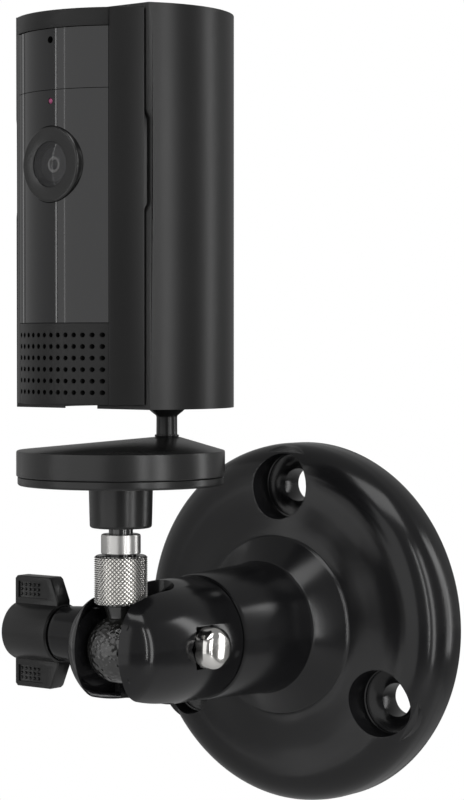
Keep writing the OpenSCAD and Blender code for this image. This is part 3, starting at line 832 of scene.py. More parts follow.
class Patterns:
    """Builds the Geometry Nodes trees for what repeats, and applies them as plain meshes."""

    def __init__(self) -> None:
        """Builds the three trees."""
        self.knurl = self._knurl_tree()
        self.dots = self._dot_tree()
        self.holes = self._hole_tree()

    @staticmethod
    def _knurl_tree() -> Tree:
        """Staggered rows of four-sided points round a sleeve.

        Returns:
            The tree.
        """
        tree = PatternTree("diamond_knurl", {"Root Radius": 5.2, "Depth": 0.3, "Low": 0.0,
                                             "High": 10.0, "Around": 44, "Rows": 23}, "Around")
        pen, given, calc = tree.pen, tree.given, tree.pen.math
        stagger = calc("MULTIPLY", calc("MODULO", tree.row, 2.0), 0.5)
        angle = calc("MULTIPLY", calc("ADD", tree.column, stagger),
                     calc("DIVIDE", math.tau, tree.columns))
        tall = calc("DIVIDE", calc("SUBTRACT", given["High"], given["Low"]),
                    calc("ADD", tree.rows, 1.0))
        height = calc("ADD", given["Low"], calc("MULTIPLY", calc("ADD", tree.row, 1.0), tall))
        radius, depth = given["Root Radius"], given["Depth"]
        wide = calc("DIVIDE", calc("MULTIPLY", calc("ADD", radius, depth), math.pi), tree.columns)
        peak = pen.add("GeometryNodeMeshCone", {"Vertices": 4, "Radius Top": 0.0,
                                                "Radius Bottom": 1.0, "Depth": 1.0})
        lying = pen.result("GeometryNodeTransform", Geometry=peak.outputs["Mesh"],
                          Rotation=(0.0, math.radians(90), 0.0))
        spot = pen.vector(X=calc("MULTIPLY", radius, calc("COSINE", angle)),
                          Y=calc("MULTIPLY", radius, calc("SINE", angle)), Z=height)
        points = tree.spread(lying, spot, Scale=pen.vector(X=depth, Y=wide, Z=tall),
                             Rotation=pen.result("FunctionNodeEulerToRotation",
                                                Euler=pen.vector(Z=angle)))
        sharp = pen.add("GeometryNodeSetShadeSmooth", {"Geometry": points,
                                                       "Shade Smooth": False})
        return tree.joined(sharp.outputs[0])

    @staticmethod
    def _dot_tree() -> Tree:
        """Rows of small domes on a flat panel that faces +Z.

        Returns:
            The tree.
        """
        tree = PatternTree("grip_dots", {"Pitch X": 1.2, "Pitch Y": 1.0, "Dot Radius": 0.28,
                                         "Dot Height": 0.2, "Columns": 4, "Rows": 3})
        pen, given = tree.pen, tree.given
        dome = pen.add("GeometryNodeMeshUVSphere", {"Segments": 12, "Rings": 6, "Radius": 1.0})
        size = pen.vector(X=given["Dot Radius"], Y=given["Dot Radius"], Z=given["Dot Height"])
        spot = pen.vector(X=tree.centred(tree.column, tree.columns, "Pitch X"),
                          Y=tree.centred(tree.row, tree.rows, "Pitch Y"))
        return tree.joined(tree.spread(dome.outputs["Mesh"], spot, Scale=size))

    @staticmethod
    def _hole_tree() -> Tree:
        """Rows of round holes through a plate, drilled along Y.

        Returns:
            The tree.
        """
        tree = PatternTree("drilled_holes", {"Pitch X": 1.8, "Pitch Z": 2.3, "Hole Radius": 0.5,
                                             "Low": 2.4, "Depth": 30.0, "Columns": 13, "Rows": 6})
        pen, given = tree.pen, tree.given
        drill = pen.add("GeometryNodeMeshCylinder", {
            "Vertices": 20, "Radius": given["Hole Radius"], "Depth": given["Depth"]})
        lying = pen.result("GeometryNodeTransform", Geometry=drill.outputs["Mesh"],
                          Rotation=(math.radians(90), 0.0, 0.0))
        up = pen.math("ADD", given["Low"], pen.math("MULTIPLY", tree.row, given["Pitch Z"]))
        spot = pen.vector(X=tree.centred(tree.column, tree.columns, "Pitch X"),
                          Y=pen.math("MULTIPLY", given["Depth"], -0.5), Z=up)
        cut = pen.add("GeometryNodeMeshBoolean", {"Mesh 1": given["Geometry"],
                                                  "Mesh 2": tree.spread(lying, spot)},
                      operation="DIFFERENCE", solver="EXACT")
        return tree.ended(cut.outputs["Mesh"])

    @staticmethod
    def apply(obj: Object, tree: Tree, place: Matrix, surface: Surface, **sizes: float) -> Object:
        """Runs a tree on an object and keeps its result as a plain mesh.

        Args:
            obj: The object that the pattern joins or cuts.
            tree: The pattern's tree.
            place: Where the pattern goes, in millimetres.
            surface: The finish of the result.
            **sizes: The tree's inputs, with underscores for spaces.

        Returns:
            The same object.
        """
        step = obj.modifiers.new("pattern", "NODES")
        step.node_group = tree
        values: dict[str, object] = {key.replace("_", " "): size for key, size in sizes.items()}
        values["Origin"] = tuple(place.to_translation() * MM)
        values["Turn"] = tuple(place.to_euler())
        values["Finish"] = PALETTE.get(surface)
        for item in tree.interface.items_tree:
            if item.item_type == "SOCKET" and item.in_out == "INPUT" and item.name in values:
                step[item.identifier] = values[item.name]
        return baked(obj)


PATTERNS = Patterns()


def settled(obj: Object, body: str, surface: Surface, nodes: tuple[str, ...] = (),
            angle: float = 28) -> None:
    """Gives a piece its finish and ties it to the CAD frame.

    Args:
        obj: The piece.
        body: The CAD body that it moves with.
        surface: Its finish.
        nodes: The CAD nodes that it stands for.
        angle: Edges sharper than this stay sharp in its shading.
    """
    obj.data.materials.clear()
    obj.data.materials.append(PALETTE.get(surface))
    shaded(obj, angle)
    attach(obj, body)
    if nodes:
        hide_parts(*nodes)
    LOG.info("%s: %d faces on %s", obj.name, len(obj.data.polygons), body)


def turned(node: str, profile: list[Point2], place: Matrix, segments: int, body: str,
           surface: Surface, angle: float = 40) -> None:
    """Makes a turned piece in place of a CAD node.

    Args:
        node: The node's name.
        profile: Radius and height of each point of its section.
        place: Where its axis goes.
        segments: Number of steps around.
        body: The CAD body that it moves with.
        surface: Its finish.
        angle: Edges sharper than this stay sharp in its shading.
    """
    settled(lathe(node + "_piece", profile, place, segments), body, surface, (node,), angle)


def dressed(body: str, slot: str, surface: Surface, *nodes: str) -> None:
    """Replaces CAD nodes by their merged, smooth copies in a finish."""
    for node in nodes:
        settled(copied_node(node), body, surface, (node,))


# ---------------------------------------------------------------- studio


@dataclass(frozen=True)
class Lamp:
    """A soft box that looks at the object."""

    name: str
    azimuth: float
    elevation: float
    distance: float
    size: Point2
    watts: float
    target: Point3 = (0.0, -0.06, 0.04)

    def build(self) -> None:
        """Adds the lamp."""
        a, e = math.radians(self.azimuth), math.radians(self.elevation)
        data = bpy.data.lights.new(self.name, "AREA")
        data.shape = "RECTANGLE"
        data.size, data.size_y = self.size
        data.energy = self.watts
        lamp = bpy.data.objects.new(self.name, data)
        bpy.context.collection.objects.link(lamp)
        out = Vector((math.sin(a) * math.cos(e), -math.cos(a) * math.cos(e), math.sin(e)))
        lamp.location = Vector(self.target) + out * self.distance
        lamp.rotation_euler = out.to_track_quat("Z", "Y").to_euler()


LAMPS = (
    Lamp("front_panel", -6, 6, 0.9, (1.0, 1.1), 3.6),
    Lamp("front_edge", -37, 6, 0.88, (0.022, 1.1), 0.35),
    Lamp("front_line", -26, 6, 0.86, (0.01, 1.1), 0.1),
    Lamp("right_panel", 84, 6, 0.9, (0.16, 1.0), 3.0),
    Lamp("right_line", 64, 10, 0.9, (0.045, 0.9), 1.9),
    Lamp("left_panel", -64, 5, 0.95, (1.0, 1.1), 1.0),
    Lamp("left_strip", -98, 5, 0.9, (0.05, 0.9), 0.1),
    Lamp("top_panel", 50, 66, 0.9, (0.7, 0.45), 3.6),
    Lamp("rear_strip", 140, 8, 0.9, (0.14, 0.8), 1.6),
)


@dataclass
class Studio:
    """The camera, the lamps, the floor and the pale surroundings."""

    camera_at: Point3 = (0.317131, -0.441428, 0.062749)
    right: Point3 = (0.78989733, 0.61323911, 0.0)
    up: Point3 = (-0.01542633, 0.01987025, 0.99968355)
    back: Point3 = (0.61304505, -0.78964737, 0.02515548)
    sensor: float = 36.0
    focal_px: float = 2411.58
    centre_px: Point2 = (222.17, 401.69)
    room_level: float = 0.2
    gloss_level: float = 0.1
    seen_level: float = 0.8
    floor_z: float = -0.42
    floor_half: float = 4000.0

    def set_camera(self) -> None:
        """Puts the camera where the photograph was taken from."""
        wide, tall = PHOTO_SIZE
        data = bpy.data.cameras.new("photo_camera")
        data.sensor_width = self.sensor
        data.lens = self.sensor * self.focal_px / tall
        data.shift_x = (wide / 2 - self.centre_px[0]) / tall
        data.shift_y = (self.centre_px[1] - tall / 2) / tall
        data.clip_start = 0.01
        camera = bpy.data.objects.new("photo_camera", data)
        bpy.context.collection.objects.link(camera)
        rows = [[self.right[i], self.up[i], self.back[i], self.camera_at[i]] for i in range(3)]
        camera.matrix_world = Matrix(rows + [[0, 0, 0, 1]])
        bpy.context.scene.camera = camera

    def set_world(self) -> None:
        """White where the camera looks past the object, and a dim grey for the rest."""
        world = bpy.data.worlds.new("studio")
        bpy.context.scene.world = world
        pen = cleared_pen(world)
        rays = pen.add("ShaderNodeLightPath").outputs
        seen = pen.math("MAXIMUM", rays["Is Camera Ray"], rays["Is Transmission Ray"])
        gloss = pen.math("MULTIPLY", rays["Is Glossy Ray"], self.gloss_level)
        level = pen.math("ADD", pen.math("MULTIPLY", seen, self.seen_level),
                         pen.math("ADD", gloss, self.room_level))
        white = pen.add("ShaderNodeBackground", {"Color": (1, 1, 1, 1), "Strength": level})
        pen.add("ShaderNodeOutputWorld", {"Surface": white.outputs[0]})

    def add_floor(self) -> None:
        """A plain floor well below the wall mount, which the camera sees as white."""
        bm = bmesh.new()
        bmesh.ops.create_grid(bm, x_segments=1, y_segments=1, size=self.floor_half)
        floor = make_object("studio_floor", bm, move(0, 0, self.floor_z / MM))
        for vertex in floor.data.vertices:
            vertex.co.z = self.floor_z
        if floor.data.polygons[0].normal.z < 0:
            floor.data.flip_normals()
        material = bpy.data.materials.new("floor_white")
        pen = cleared_pen(material)
        rays = pen.add("ShaderNodeLightPath")
        matt = pen.add("ShaderNodeBsdfDiffuse", {"Color": (0.8, 0.8, 0.8, 1)})
        bright = pen.add("ShaderNodeEmission", {"Color": (1, 1, 1, 1), "Strength": 1.0})
        mix = pen.add("ShaderNodeMixShader", {"0": rays.outputs["Is Camera Ray"],
                                              "1": matt.outputs[0], "2": bright.outputs[0]})
        pen.add("ShaderNodeOutputMaterial", {"Surface": mix.outputs[0]})
        floor.data.materials.append(material)

    def build(self) -> None:
        """Sets up the whole studio."""
        self.set_camera()
        self.set_world()
        self.add_floor()
        for lamp in LAMPS:
            lamp.build()
        bpy.context.scene.view_settings.view_transform = "Standard"


# ---------------------------------------------------------------- wall mount


@dataclass
class WallFlange:
    """The round flange with its rolled rim, counterbored screw holes, collar and neck."""

    radius: float = 40.0
    back: float = 8.2
    inner_r: float = 35.3
    boss_r: float = 11.5
    bore_r: float = 4.08
    head_bore_r: float = 7.8
    head_seat: float = 30.9
    neck_end: float = 41.9
    hole_pitch: float = 30.6
    hole_r: float = 3.7
    cbore_r: float = 7.25
    cbore_floor: float = 5.6
    post_wall: float = 1.6
    hole_angles: tuple[float, ...] = (90.0, 210.0, 330.0)

    def profile(self) -> list[Point2]:
        """Radius and height of the section, from the hollow back around the front to the bore.

        Returns:
            The section, which the lathe closes.
        """
        front = eased([(self.radius, 4.8), (39.62, 7.3), (38.5, 9.5), (36.75, 11.1), (34.6, 12.0),
                       (32.4, 12.28), (30.2, 12.34), (28.0, 12.5), (25.6, 12.86), (23.2, 13.3),
                       (21.4, 13.6), (20.1, 13.72)], 7)
        collar = [(19.82, 13.78), (19.66, 14.05), (19.5, 14.3), (19.3, 14.45), (14.72, 19.05),
                  (14.52, 19.3), (14.38, 19.7), (14.32, 20.2)]
        neck = [(13.32, 41.25), (13.22, 41.65), (12.9, self.neck_end),
                (self.bore_r, self.neck_end), (self.bore_r, self.head_seat),
                (self.head_bore_r, self.head_seat), (self.head_bore_r, 0.0)]
        return ([(self.inner_r, 0.0), (39.3, 0.0), (39.8, 0.2), (self.radius, 0.7)] + front
                + collar + neck
                + [(self.boss_r, 0.0), (self.boss_r, self.back), (self.inner_r, self.back)])

    def at_hole(self, angle: float) -> Matrix:
        """The place of one screw hole, with +Z out from the wall."""
        return turn(-angle, "Y") @ move(self.hole_pitch, 0, 0) @ FORWARD

    def hole_profile(self) -> list[Point2]:
        """Section of one stepped screw hole: clearance, cone, step and counterbore."""
        floor, r = self.cbore_floor, self.cbore_r
        return [(0, -1), (self.hole_r, -1), (self.hole_r, floor - 0.4), (r - 1.2, floor + 1.0),
                (r - 0.35, floor + 1.0), (r - 0.3, floor + 1.35), (r, floor + 1.4), (r, 20),
                (0, 20)]

    def build(self) -> None:
        """Makes and dresses the flange."""
        flange = lathe("wall_flange_piece", self.profile(), FORWARD, 256)
        places = [self.at_hole(angle) for angle in self.hole_angles]
        posts = [rod(f"post_{i}", self.cbore_r + self.post_wall, 0.0, 10.0, place)
                 for i, place in enumerate(places)]
        cuts = [lathe(f"hole_{i}", self.hole_profile(), place, 112)
                for i, place in enumerate(places)]
        combined(flange, posts, Join.FUSE)
        combined(flange, cuts, Join.CUT)
        rounded(flange, 0.16, 2, 36)
        settled(flange, "wall_bracket", Surface.MOUNT,
                ("wall_flange", "flange_neck", "flange_rim", "flange_posts"), 34)


@dataclass
class ClampArm:
    """The slotted arm with its two cheeks, its bolt and the spacer before the wing nut."""

    radius: float = 13.0
    start: float = 42.2
    ball_y: float = 66.6
    nose: float = 8.9
    slot_r: float = 5.8
    slot_end: float = 52.8
    cup_r: float = 7.1
    bolt_r: float = 3.0
    bolt_hole_r: float = 3.15
    swivel_hole_r: float = 4.0
    flat_x: float = 12.4
    flat_half: float = 9.0
    pocket_x: float = 9.2
    head_r: float = 4.3
    head_end: float = 16.8
    side_r: float = 62.0
    shoulder_r: float = 6.0
    tip_r: float = 15.0
    cheek_rim: float = 1.25
    cup_ring: float = 7.95
    recess: float = 1.3
    through: float = 30.0

    def nose_arcs(self) -> tuple[Point2, Point2, Point2, float, float]:
        """Finds the three arcs of the nose.

        Returns:
            Centres of the side's, shoulder's and tip's arcs, and the angles where they touch.
        """
        side = (self.radius - self.side_r, self.slot_end + 3.2)
        tip = (0.0, self.ball_y + self.nose - self.tip_r)
        gap = math.dist(side, tip)
        p, q = self.side_r - self.shoulder_r, self.tip_r - self.shoulder_r
        along = (p * p - q * q + gap * gap) / (2 * gap)
        off = math.sqrt(p * p - along * along)
        ux, uy = (tip[0] - side[0]) / gap, (tip[1] - side[1]) / gap
        shoulder = (side[0] + along * ux - off * uy, side[1] + along * uy + off * ux)
        first, second = (math.degrees(math.atan2(shoulder[1] - y, shoulder[0] - x))
                         for x, y in (side, tip))
        return side, shoulder, tip, first, second

    def outline(self) -> list[Point2]:
        """Half section: straight, a long shallow arc, a tight shoulder and a blunt nose."""
        side, shoulder, tip, first, second = self.nose_arcs()
        return ([(0, self.start), (self.radius - 0.5, self.start),
                 (self.radius - 0.15, self.start + 0.15), (self.radius, self.start + 0.5)]
                + arc(side, self.side_r, 0, first, 24)
                + arc(shoulder, self.shoulder_r, first, second, 14)[1:]
                + arc(tip, self.tip_r, second, 90, 18)[1:])

    def half_height(self, y: float) -> float:
        """Half the height of a cheek's inner face.

        Args:
            y: Distance from the wall.

        Returns:
            The half height, or zero past the nose.
        """
        outline = self.outline()
        for (r0, y0), (r1, y1) in zip(outline[3:], outline[4:]):
            if y0 <= y <= y1 and y1 > y0:
                r = r0 + (r1 - r0) * (y - y0) / (y1 - y0)
                return math.sqrt(max(0.0, r * r - self.slot_r ** 2))
        return 0.0

    def recess_cutter(self, name: str, side: int) -> Object:
        """Makes a cutter that leaves a rim and a ring round the cup on a cheek's inner face.

        Args:
            name: The cutter's name.
            side: 1 for the cheek on +X, and -1 for the other.

        Returns:
            The cutter.
        """
        start, end = self.slot_end + self.slot_r + 1.5, self.ball_y + 7.3
        upper = [(-y, max(self.half_height(y) - self.cheek_rim, 0.3))
                 for y in (start + (end - start) * i / 40 for i in range(41))]
        low, high = sorted((side * (self.slot_r - 0.5), side * (self.slot_r + self.recess)))
        cutter = prism(name, upper + [(y, -h) for y, h in reversed(upper)], low, high, SIDEWAYS)
        kept = rod(name + "_ring", self.cup_ring, -self.through, self.through,
                   AT_BALL @ ALONG_X, 120)
        return combined(cutter, [kept], Join.CUT)

    def build_arm(self) -> None:
        """Makes the arm by cutting its slot, cups, bolt hole and flats."""
        arm = lathe("clamp_arm_piece", self.outline(), FORWARD, 192)
        centre, far, across = -self.slot_end - self.slot_r, self.through, AT_BOLT @ ALONG_X
        slot = ([(-self.slot_r, centre - 40), (self.slot_r, centre - 40)]
                + arc((0, centre), self.slot_r, 0, 180, 48))
        cups = [(0, -self.cup_r)] + arc((0, 0), self.cup_r, -88, 88, 60) + [(0, self.cup_r)]
        hexagon = arc((0, 0), (self.head_r + 0.1) / math.cos(math.radians(30)), 30, 330, 5)
        cuts = [prism("slot", slot, -far, far, HERE),
                lathe("cups", cups, AT_BALL @ ALONG_X, 96),
                rod("bolt_hole", self.bolt_hole_r, -far, far, across),
                self.recess_cutter("right_recess", 1), self.recess_cutter("left_recess", -1),
                prism("bolt_pocket", hexagon, self.pocket_x, far, across),
                box("spacer_flat", (-far, -BOLT_Y - self.flat_half, -20),
                    (-self.flat_x, -BOLT_Y + self.flat_half, 20), HERE),
                rod("swivel_hole", self.swivel_hole_r, 0, self.start + 6.6, FORWARD)]
        combined(arm, cuts, Join.CUT)
        rounded(arm, 0.4, 3, 42)
        settled(arm, "arm", Surface.ARM, ("clamp_arm",), 32)

    def build(self) -> None:
        """Makes and dresses the arm, its polished bolt with a domed head, and the spacer."""
        self.build_arm()
        head, r, base, end = self.head_r, self.bolt_r, self.pocket_x + 0.05, self.head_end
        turned("clamp_bolt",
               [(0, -36.3), (r - 0.4, -36.3), (r, -35.9), (r, base), (head, base)]
               + arc((head - 2.0, end - 2.0), 2.0, 0, 80, 14) + [(0, end + 0.03)],
               AT_BOLT @ ALONG_X, 96, "arm", Surface.CHROME)
        hole = self.bolt_hole_r
        turned("wing_spacer",
               [(hole, -25.85), (5.6, -25.85), (5.88, -25.7), (5.97, -25.4), (6.0, -24.6),
                (6.65, -13.0), (6.6, -12.5), (hole, -12.45)],
               AT_BOLT @ ALONG_X, 120, "arm", Surface.ARM, 28)
        dressed("arm", "steel", Surface.STEEL, "swivel_screw", "swivel_washer")


@dataclass
class WingNut:
    """The plastic wing nut with its two gripped wings and its threaded insert."""

    hub_r: float = 6.4
    inner_x: float = -26.1
    length: float = 12.8
    span: float = 24.0
    thickness: float = 4.2
    panel_depth: float = 0.55
    insert_r: float = 4.3

    @property
    def middle(self) -> Matrix:
        """The place of the hub's middle on the bolt's axis."""
        return AT_BOLT @ move(self.inner_x - self.length / 2, 0, 0)

    def wing(self, name: str, angle: float) -> Object:
        """Makes one wing, as a plate with a slanted side towards the arm.

        Args:
            name: The wing's name.
            angle: Its turn about the bolt in degrees.

        Returns:
            The wing.
        """
        half, tip = self.length / 2, self.span / 2
        outline = [(-half + 0.3, 0), (-half + 0.3, tip - 0.6), (-half + 0.9, tip),
                   (half - 2.6, tip), (half - 2.0, tip - 0.5), (half - 0.1, self.hub_r + 0.6),
                   (half - 0.1, 0)]
        return prism(name, outline, -self.thickness / 2, self.thickness / 2,
                     self.middle @ turn(angle, "X") @ FORWARD)

    def panel(self, name: str, angle: float) -> Object:
        """Makes a cutter for one recessed grip panel, with its slanted end.

        Args:
            name: The cutter's name.
            angle: Its wing's turn about the bolt in degrees.

        Returns:
            The cutter.
        """
        half, low, high = self.length / 2, self.hub_r + 0.9, self.span / 2 - 1.1
        outline = [(-half + 1.35, low), (half - 3.0, low), (half - 4.3, high),
                   (-half + 1.35, high)]
        floor = self.thickness / 2 - self.panel_depth
        return prism(name, outline, floor, floor + 2, self.middle @ turn(angle, "X") @ FORWARD)

    def build(self) -> None:
        """Makes and dresses the wing nut."""
        half, r, place = self.length / 2, self.hub_r, self.middle @ ALONG_X
        hub = lathe("wing_nut_piece",
                    [(0, -half), (r - 0.7, -half), (r - 0.2, -half + 0.2), (r, -half + 0.7),
                     (r, half - 0.35), (r - 0.35, half), (0, half)], place, 112)
        wings = [rounded(self.wing("wing_up", 0), 0.4, 3, 50),
                 rounded(self.wing("wing_down", 180), 0.4, 3, 50)]
        combined(hub, wings, Join.FUSE)
        cuts = [rod("insert_hole", self.insert_r, -half + 2.2, half + 2, place)]
        for angle in (0, 180):
            cuts += [self.panel(f"front_panel_{angle}", angle),
                     self.panel(f"back_panel_{angle}", angle)]
            cuts[-1].data.transform(move(0, -2 * BOLT_Y * MM, 0) @ Matrix.Scale(-1, 4, (0, 1, 0)))
            cuts[-1].data.flip_normals()
        combined(hub, cuts, Join.CUT)
        rounded(hub, 0.12, 2, 60)
        floor = self.thickness / 2 - self.panel_depth
        for angle, face in ((0, 0), (0, 180), (180, 0), (180, 180)):
            spot = (self.middle @ turn(angle, "X")
                    @ move(-2.1, 0, (r + self.span / 2) / 2 - 0.1) @ turn(face, "Z")
                    @ move(0, -floor, 0) @ FORWARD)
            PATTERNS.apply(hub, PATTERNS.dots, spot, Surface.WING, Columns=5, Rows=3,
                           Pitch_X=1.2, Pitch_Y=1.0, Dot_Radius=0.36, Dot_Height=0.36)
        settled(hub, "wing", Surface.WING, ("wing_nut",), 30)
        dressed("wing", "brass", Surface.BRASS, "wing_nut_insert")


# ---------------------------------------------------------------- ball stud


@dataclass
class BallStud:
    """The ball, its threaded stud, the bright collar and the knurled lock nut."""

    ball_r: float = 7.0
    thread_r: float = 3.1
    collar_r: float = 4.05
    nut_r: float = 5.49
    nut_bore: float = 3.18
    nut_low: float = 9.1
    nut_high: float = 19.15
    ring_low: float = 19.45
    ring_high: float = 23.5
    knurl_around: int = 36
    knurl_rows: int = 22
    knurl_depth: float = 0.5

    def build_stud(self) -> None:
        """Makes the ball with its neck, its thread's core and the thread's visible end."""
        ball, r = self.ball_r, self.thread_r
        turned("ball_stud",
               [(0, -ball)] + arc((0, 0), ball, -88, 65, 70)
               + [(2.88, 6.45), (2.92, 6.8), (3.45, 8.6), (3.5, 8.8), (r, 8.85),
                  (r, self.ring_high), (2.46, self.ring_high), (2.46, 24.9), (r, 25.0), (r, 32.2),
                  (2.9, 32.25), (0, 32.25)],
               AT_BALL, 128, "stud", Surface.BALL)

    def build_collar(self) -> None:
        """Makes the bright collar above the lock nut."""
        bore, r, low, high = self.thread_r + 0.02, self.collar_r, self.ring_low, self.ring_high
        turned("stud_collar",
               [(bore, low), (3.9, low), (r, low + 0.15), (r, high - 0.45), (3.95, high - 0.12),
                (3.7, high), (bore, high)],
               AT_BALL, 128, "stud", Surface.STEEL, 30)

    def build_nut(self) -> None:
        """Makes the lock nut: a sleeve with a diamond knurl of small points."""
        r, low, high = self.nut_r - self.knurl_depth, self.nut_low, self.nut_high
        sleeve = lathe("knurled_lock_nut_piece",
                       [(self.nut_bore, low), (r - 0.1, low), (r + 0.02, low + 0.1),
                        (r + 0.02, high - 0.1), (r - 0.1, high), (self.nut_bore, high)],
                       AT_BALL, 176)
        shaded(sleeve, 30)
        PATTERNS.apply(sleeve, PATTERNS.knurl, AT_BALL, Surface.NUT, Root_Radius=r,
                       Depth=self.knurl_depth, Low=low, High=high, Around=self.knurl_around,
                       Rows=self.knurl_rows)
        settled(sleeve, "lock_nut", Surface.NUT, ("knurled_lock_nut",), 12)

    def build(self) -> None:
        """Makes and dresses the stud's pieces."""
        self.build_stud()
        self.build_collar()
        self.build_nut()


# ---------------------------------------------------------------- stand and stem


@dataclass
class CameraStand:
    """The stand: its screw boss, its two plates and what they hold."""

    radius: float = 21.23
    boss_low: float = 24.75
    plate_low: float = 33.5
    cover_low: float = 35.34
    rim_high: float = 40.54
    foot_high: float = 42.74
    stem_back: float = 14.85
    tip_r: float = 2.88
    hollow: float = 3.5
    count: int = 160

    def build_cover(self) -> None:
        """Makes the upper plate, whose shallow cone has its tip at the stem's foot."""
        bm = bmesh.new()
        r, low, high, edge = self.radius, self.cover_low, self.rim_high, 0.3
        rings = [ring(bm, *size, self.count) for size in (
            (r - 1.8, low), (r - 0.15, low), (r, low + 0.15), (r, high - edge),
            (r - 0.09, high - 0.07), (r - edge, high + 0.02))]
        rings.append(ring(bm, self.tip_r, self.foot_high, self.count, self.stem_back))
        for below, above in zip(rings, rings[1:]):
            skin(bm, below, above)
        bm.faces.new(rings[-1])
        roof = ring(bm, r - 1.8, low + self.hollow, self.count)
        skin(bm, roof, rings[0])
        bm.faces.new(roof)
        cover = make_object("base_cover_piece", bm, AT_BALL)
        settled(cover, "stand", Surface.STAND, ("base_cover",), 30)

    def build_boss(self) -> None:
        """Makes the round boss that the stud screws into."""
        low, high = self.boss_low, self.plate_low
        turned("adapter_boss",
               [(3.6, low), (5.75, low)] + arc((5.75, low + 0.6), 0.6, -80, 0, 6)
               + [(6.42, low + 3), (6.55, high), (4.85, high), (4.85, high + 1.5),
                  (4.45, high + 1.5), (4.45, low + 0.6), (3.6, low + 0.6)],
               AT_BALL, 128, "stand", Surface.STAND)

    def build_plate(self) -> None:
        """Makes the lower plate, a little smaller than the cover."""
        r, low = self.radius - 0.25, self.plate_low
        turned("base_plate",
               [(4.95, low), (r - 0.55, low)] + arc((r - 0.5, low + 0.5), 0.5, -85, 0, 6)
               + [(r, low + 1.6), (r - 0.2, low + 1.8), (4.95, low + 1.8)],
               AT_BALL, 160, "stand", Surface.STAND)

    def build(self) -> None:
        """Makes and dresses the stand's pieces."""
        self.build_cover()
        self.build_boss()
        self.build_plate()
        dressed("stand", "brass", Surface.BRASS, "adapter_insert")
        dressed("stand", "steel", Surface.STEEL, "base_weight", "base_screws")


@dataclass
class StemPost:
    """The stem with its ball."""

    radius: float = 2.18
    low: float = 36.54
    foot: float = 42.74
    ball_r: float = 5.0
    ball_z: float = 51.84

    def build(self) -> None:
        """Makes and dresses the stem, which has a small collar at its foot."""
        r, low, foot = self.radius, self.low, self.foot
        turned("stem",
               [(0, low), (r - 0.4, low), (r - 0.4, low + 1), (r, low + 1), (r, foot + 0.05),
                (2.45, foot + 0.08), (2.53, foot + 0.2), (2.5, foot + 0.5), (2.2, foot + 0.58),
                (2.17, 46.9), (2.25, 47.25)]
               + arc((0, self.ball_z), self.ball_r, -49.1, 88, 50)
               + [(0, self.ball_z + self.ball_r)],
               AT_STEM, 96, "stem_post", Surface.STAND)
        dressed("stem_post", "steel", Surface.STEEL, "stem_clip")


# ---------------------------------------------------------------- camera


def sector(inner: float, outer: float, half: float, steps: int = 60) -> list[Point2]:
    """Outline of a curved plate about the front, which is -Y.

    Args:
        inner: Its inner radius.
        outer: Its outer radius.
        half: Half its angle in degrees.
        steps: Number of steps along each arc.

    Returns:
        The outline's corners.
    """
    return (arc((0, 0), outer, -90 - half, -90 + half, steps)
            + arc((0, 0), inner, -90 + half, -90 - half, steps))


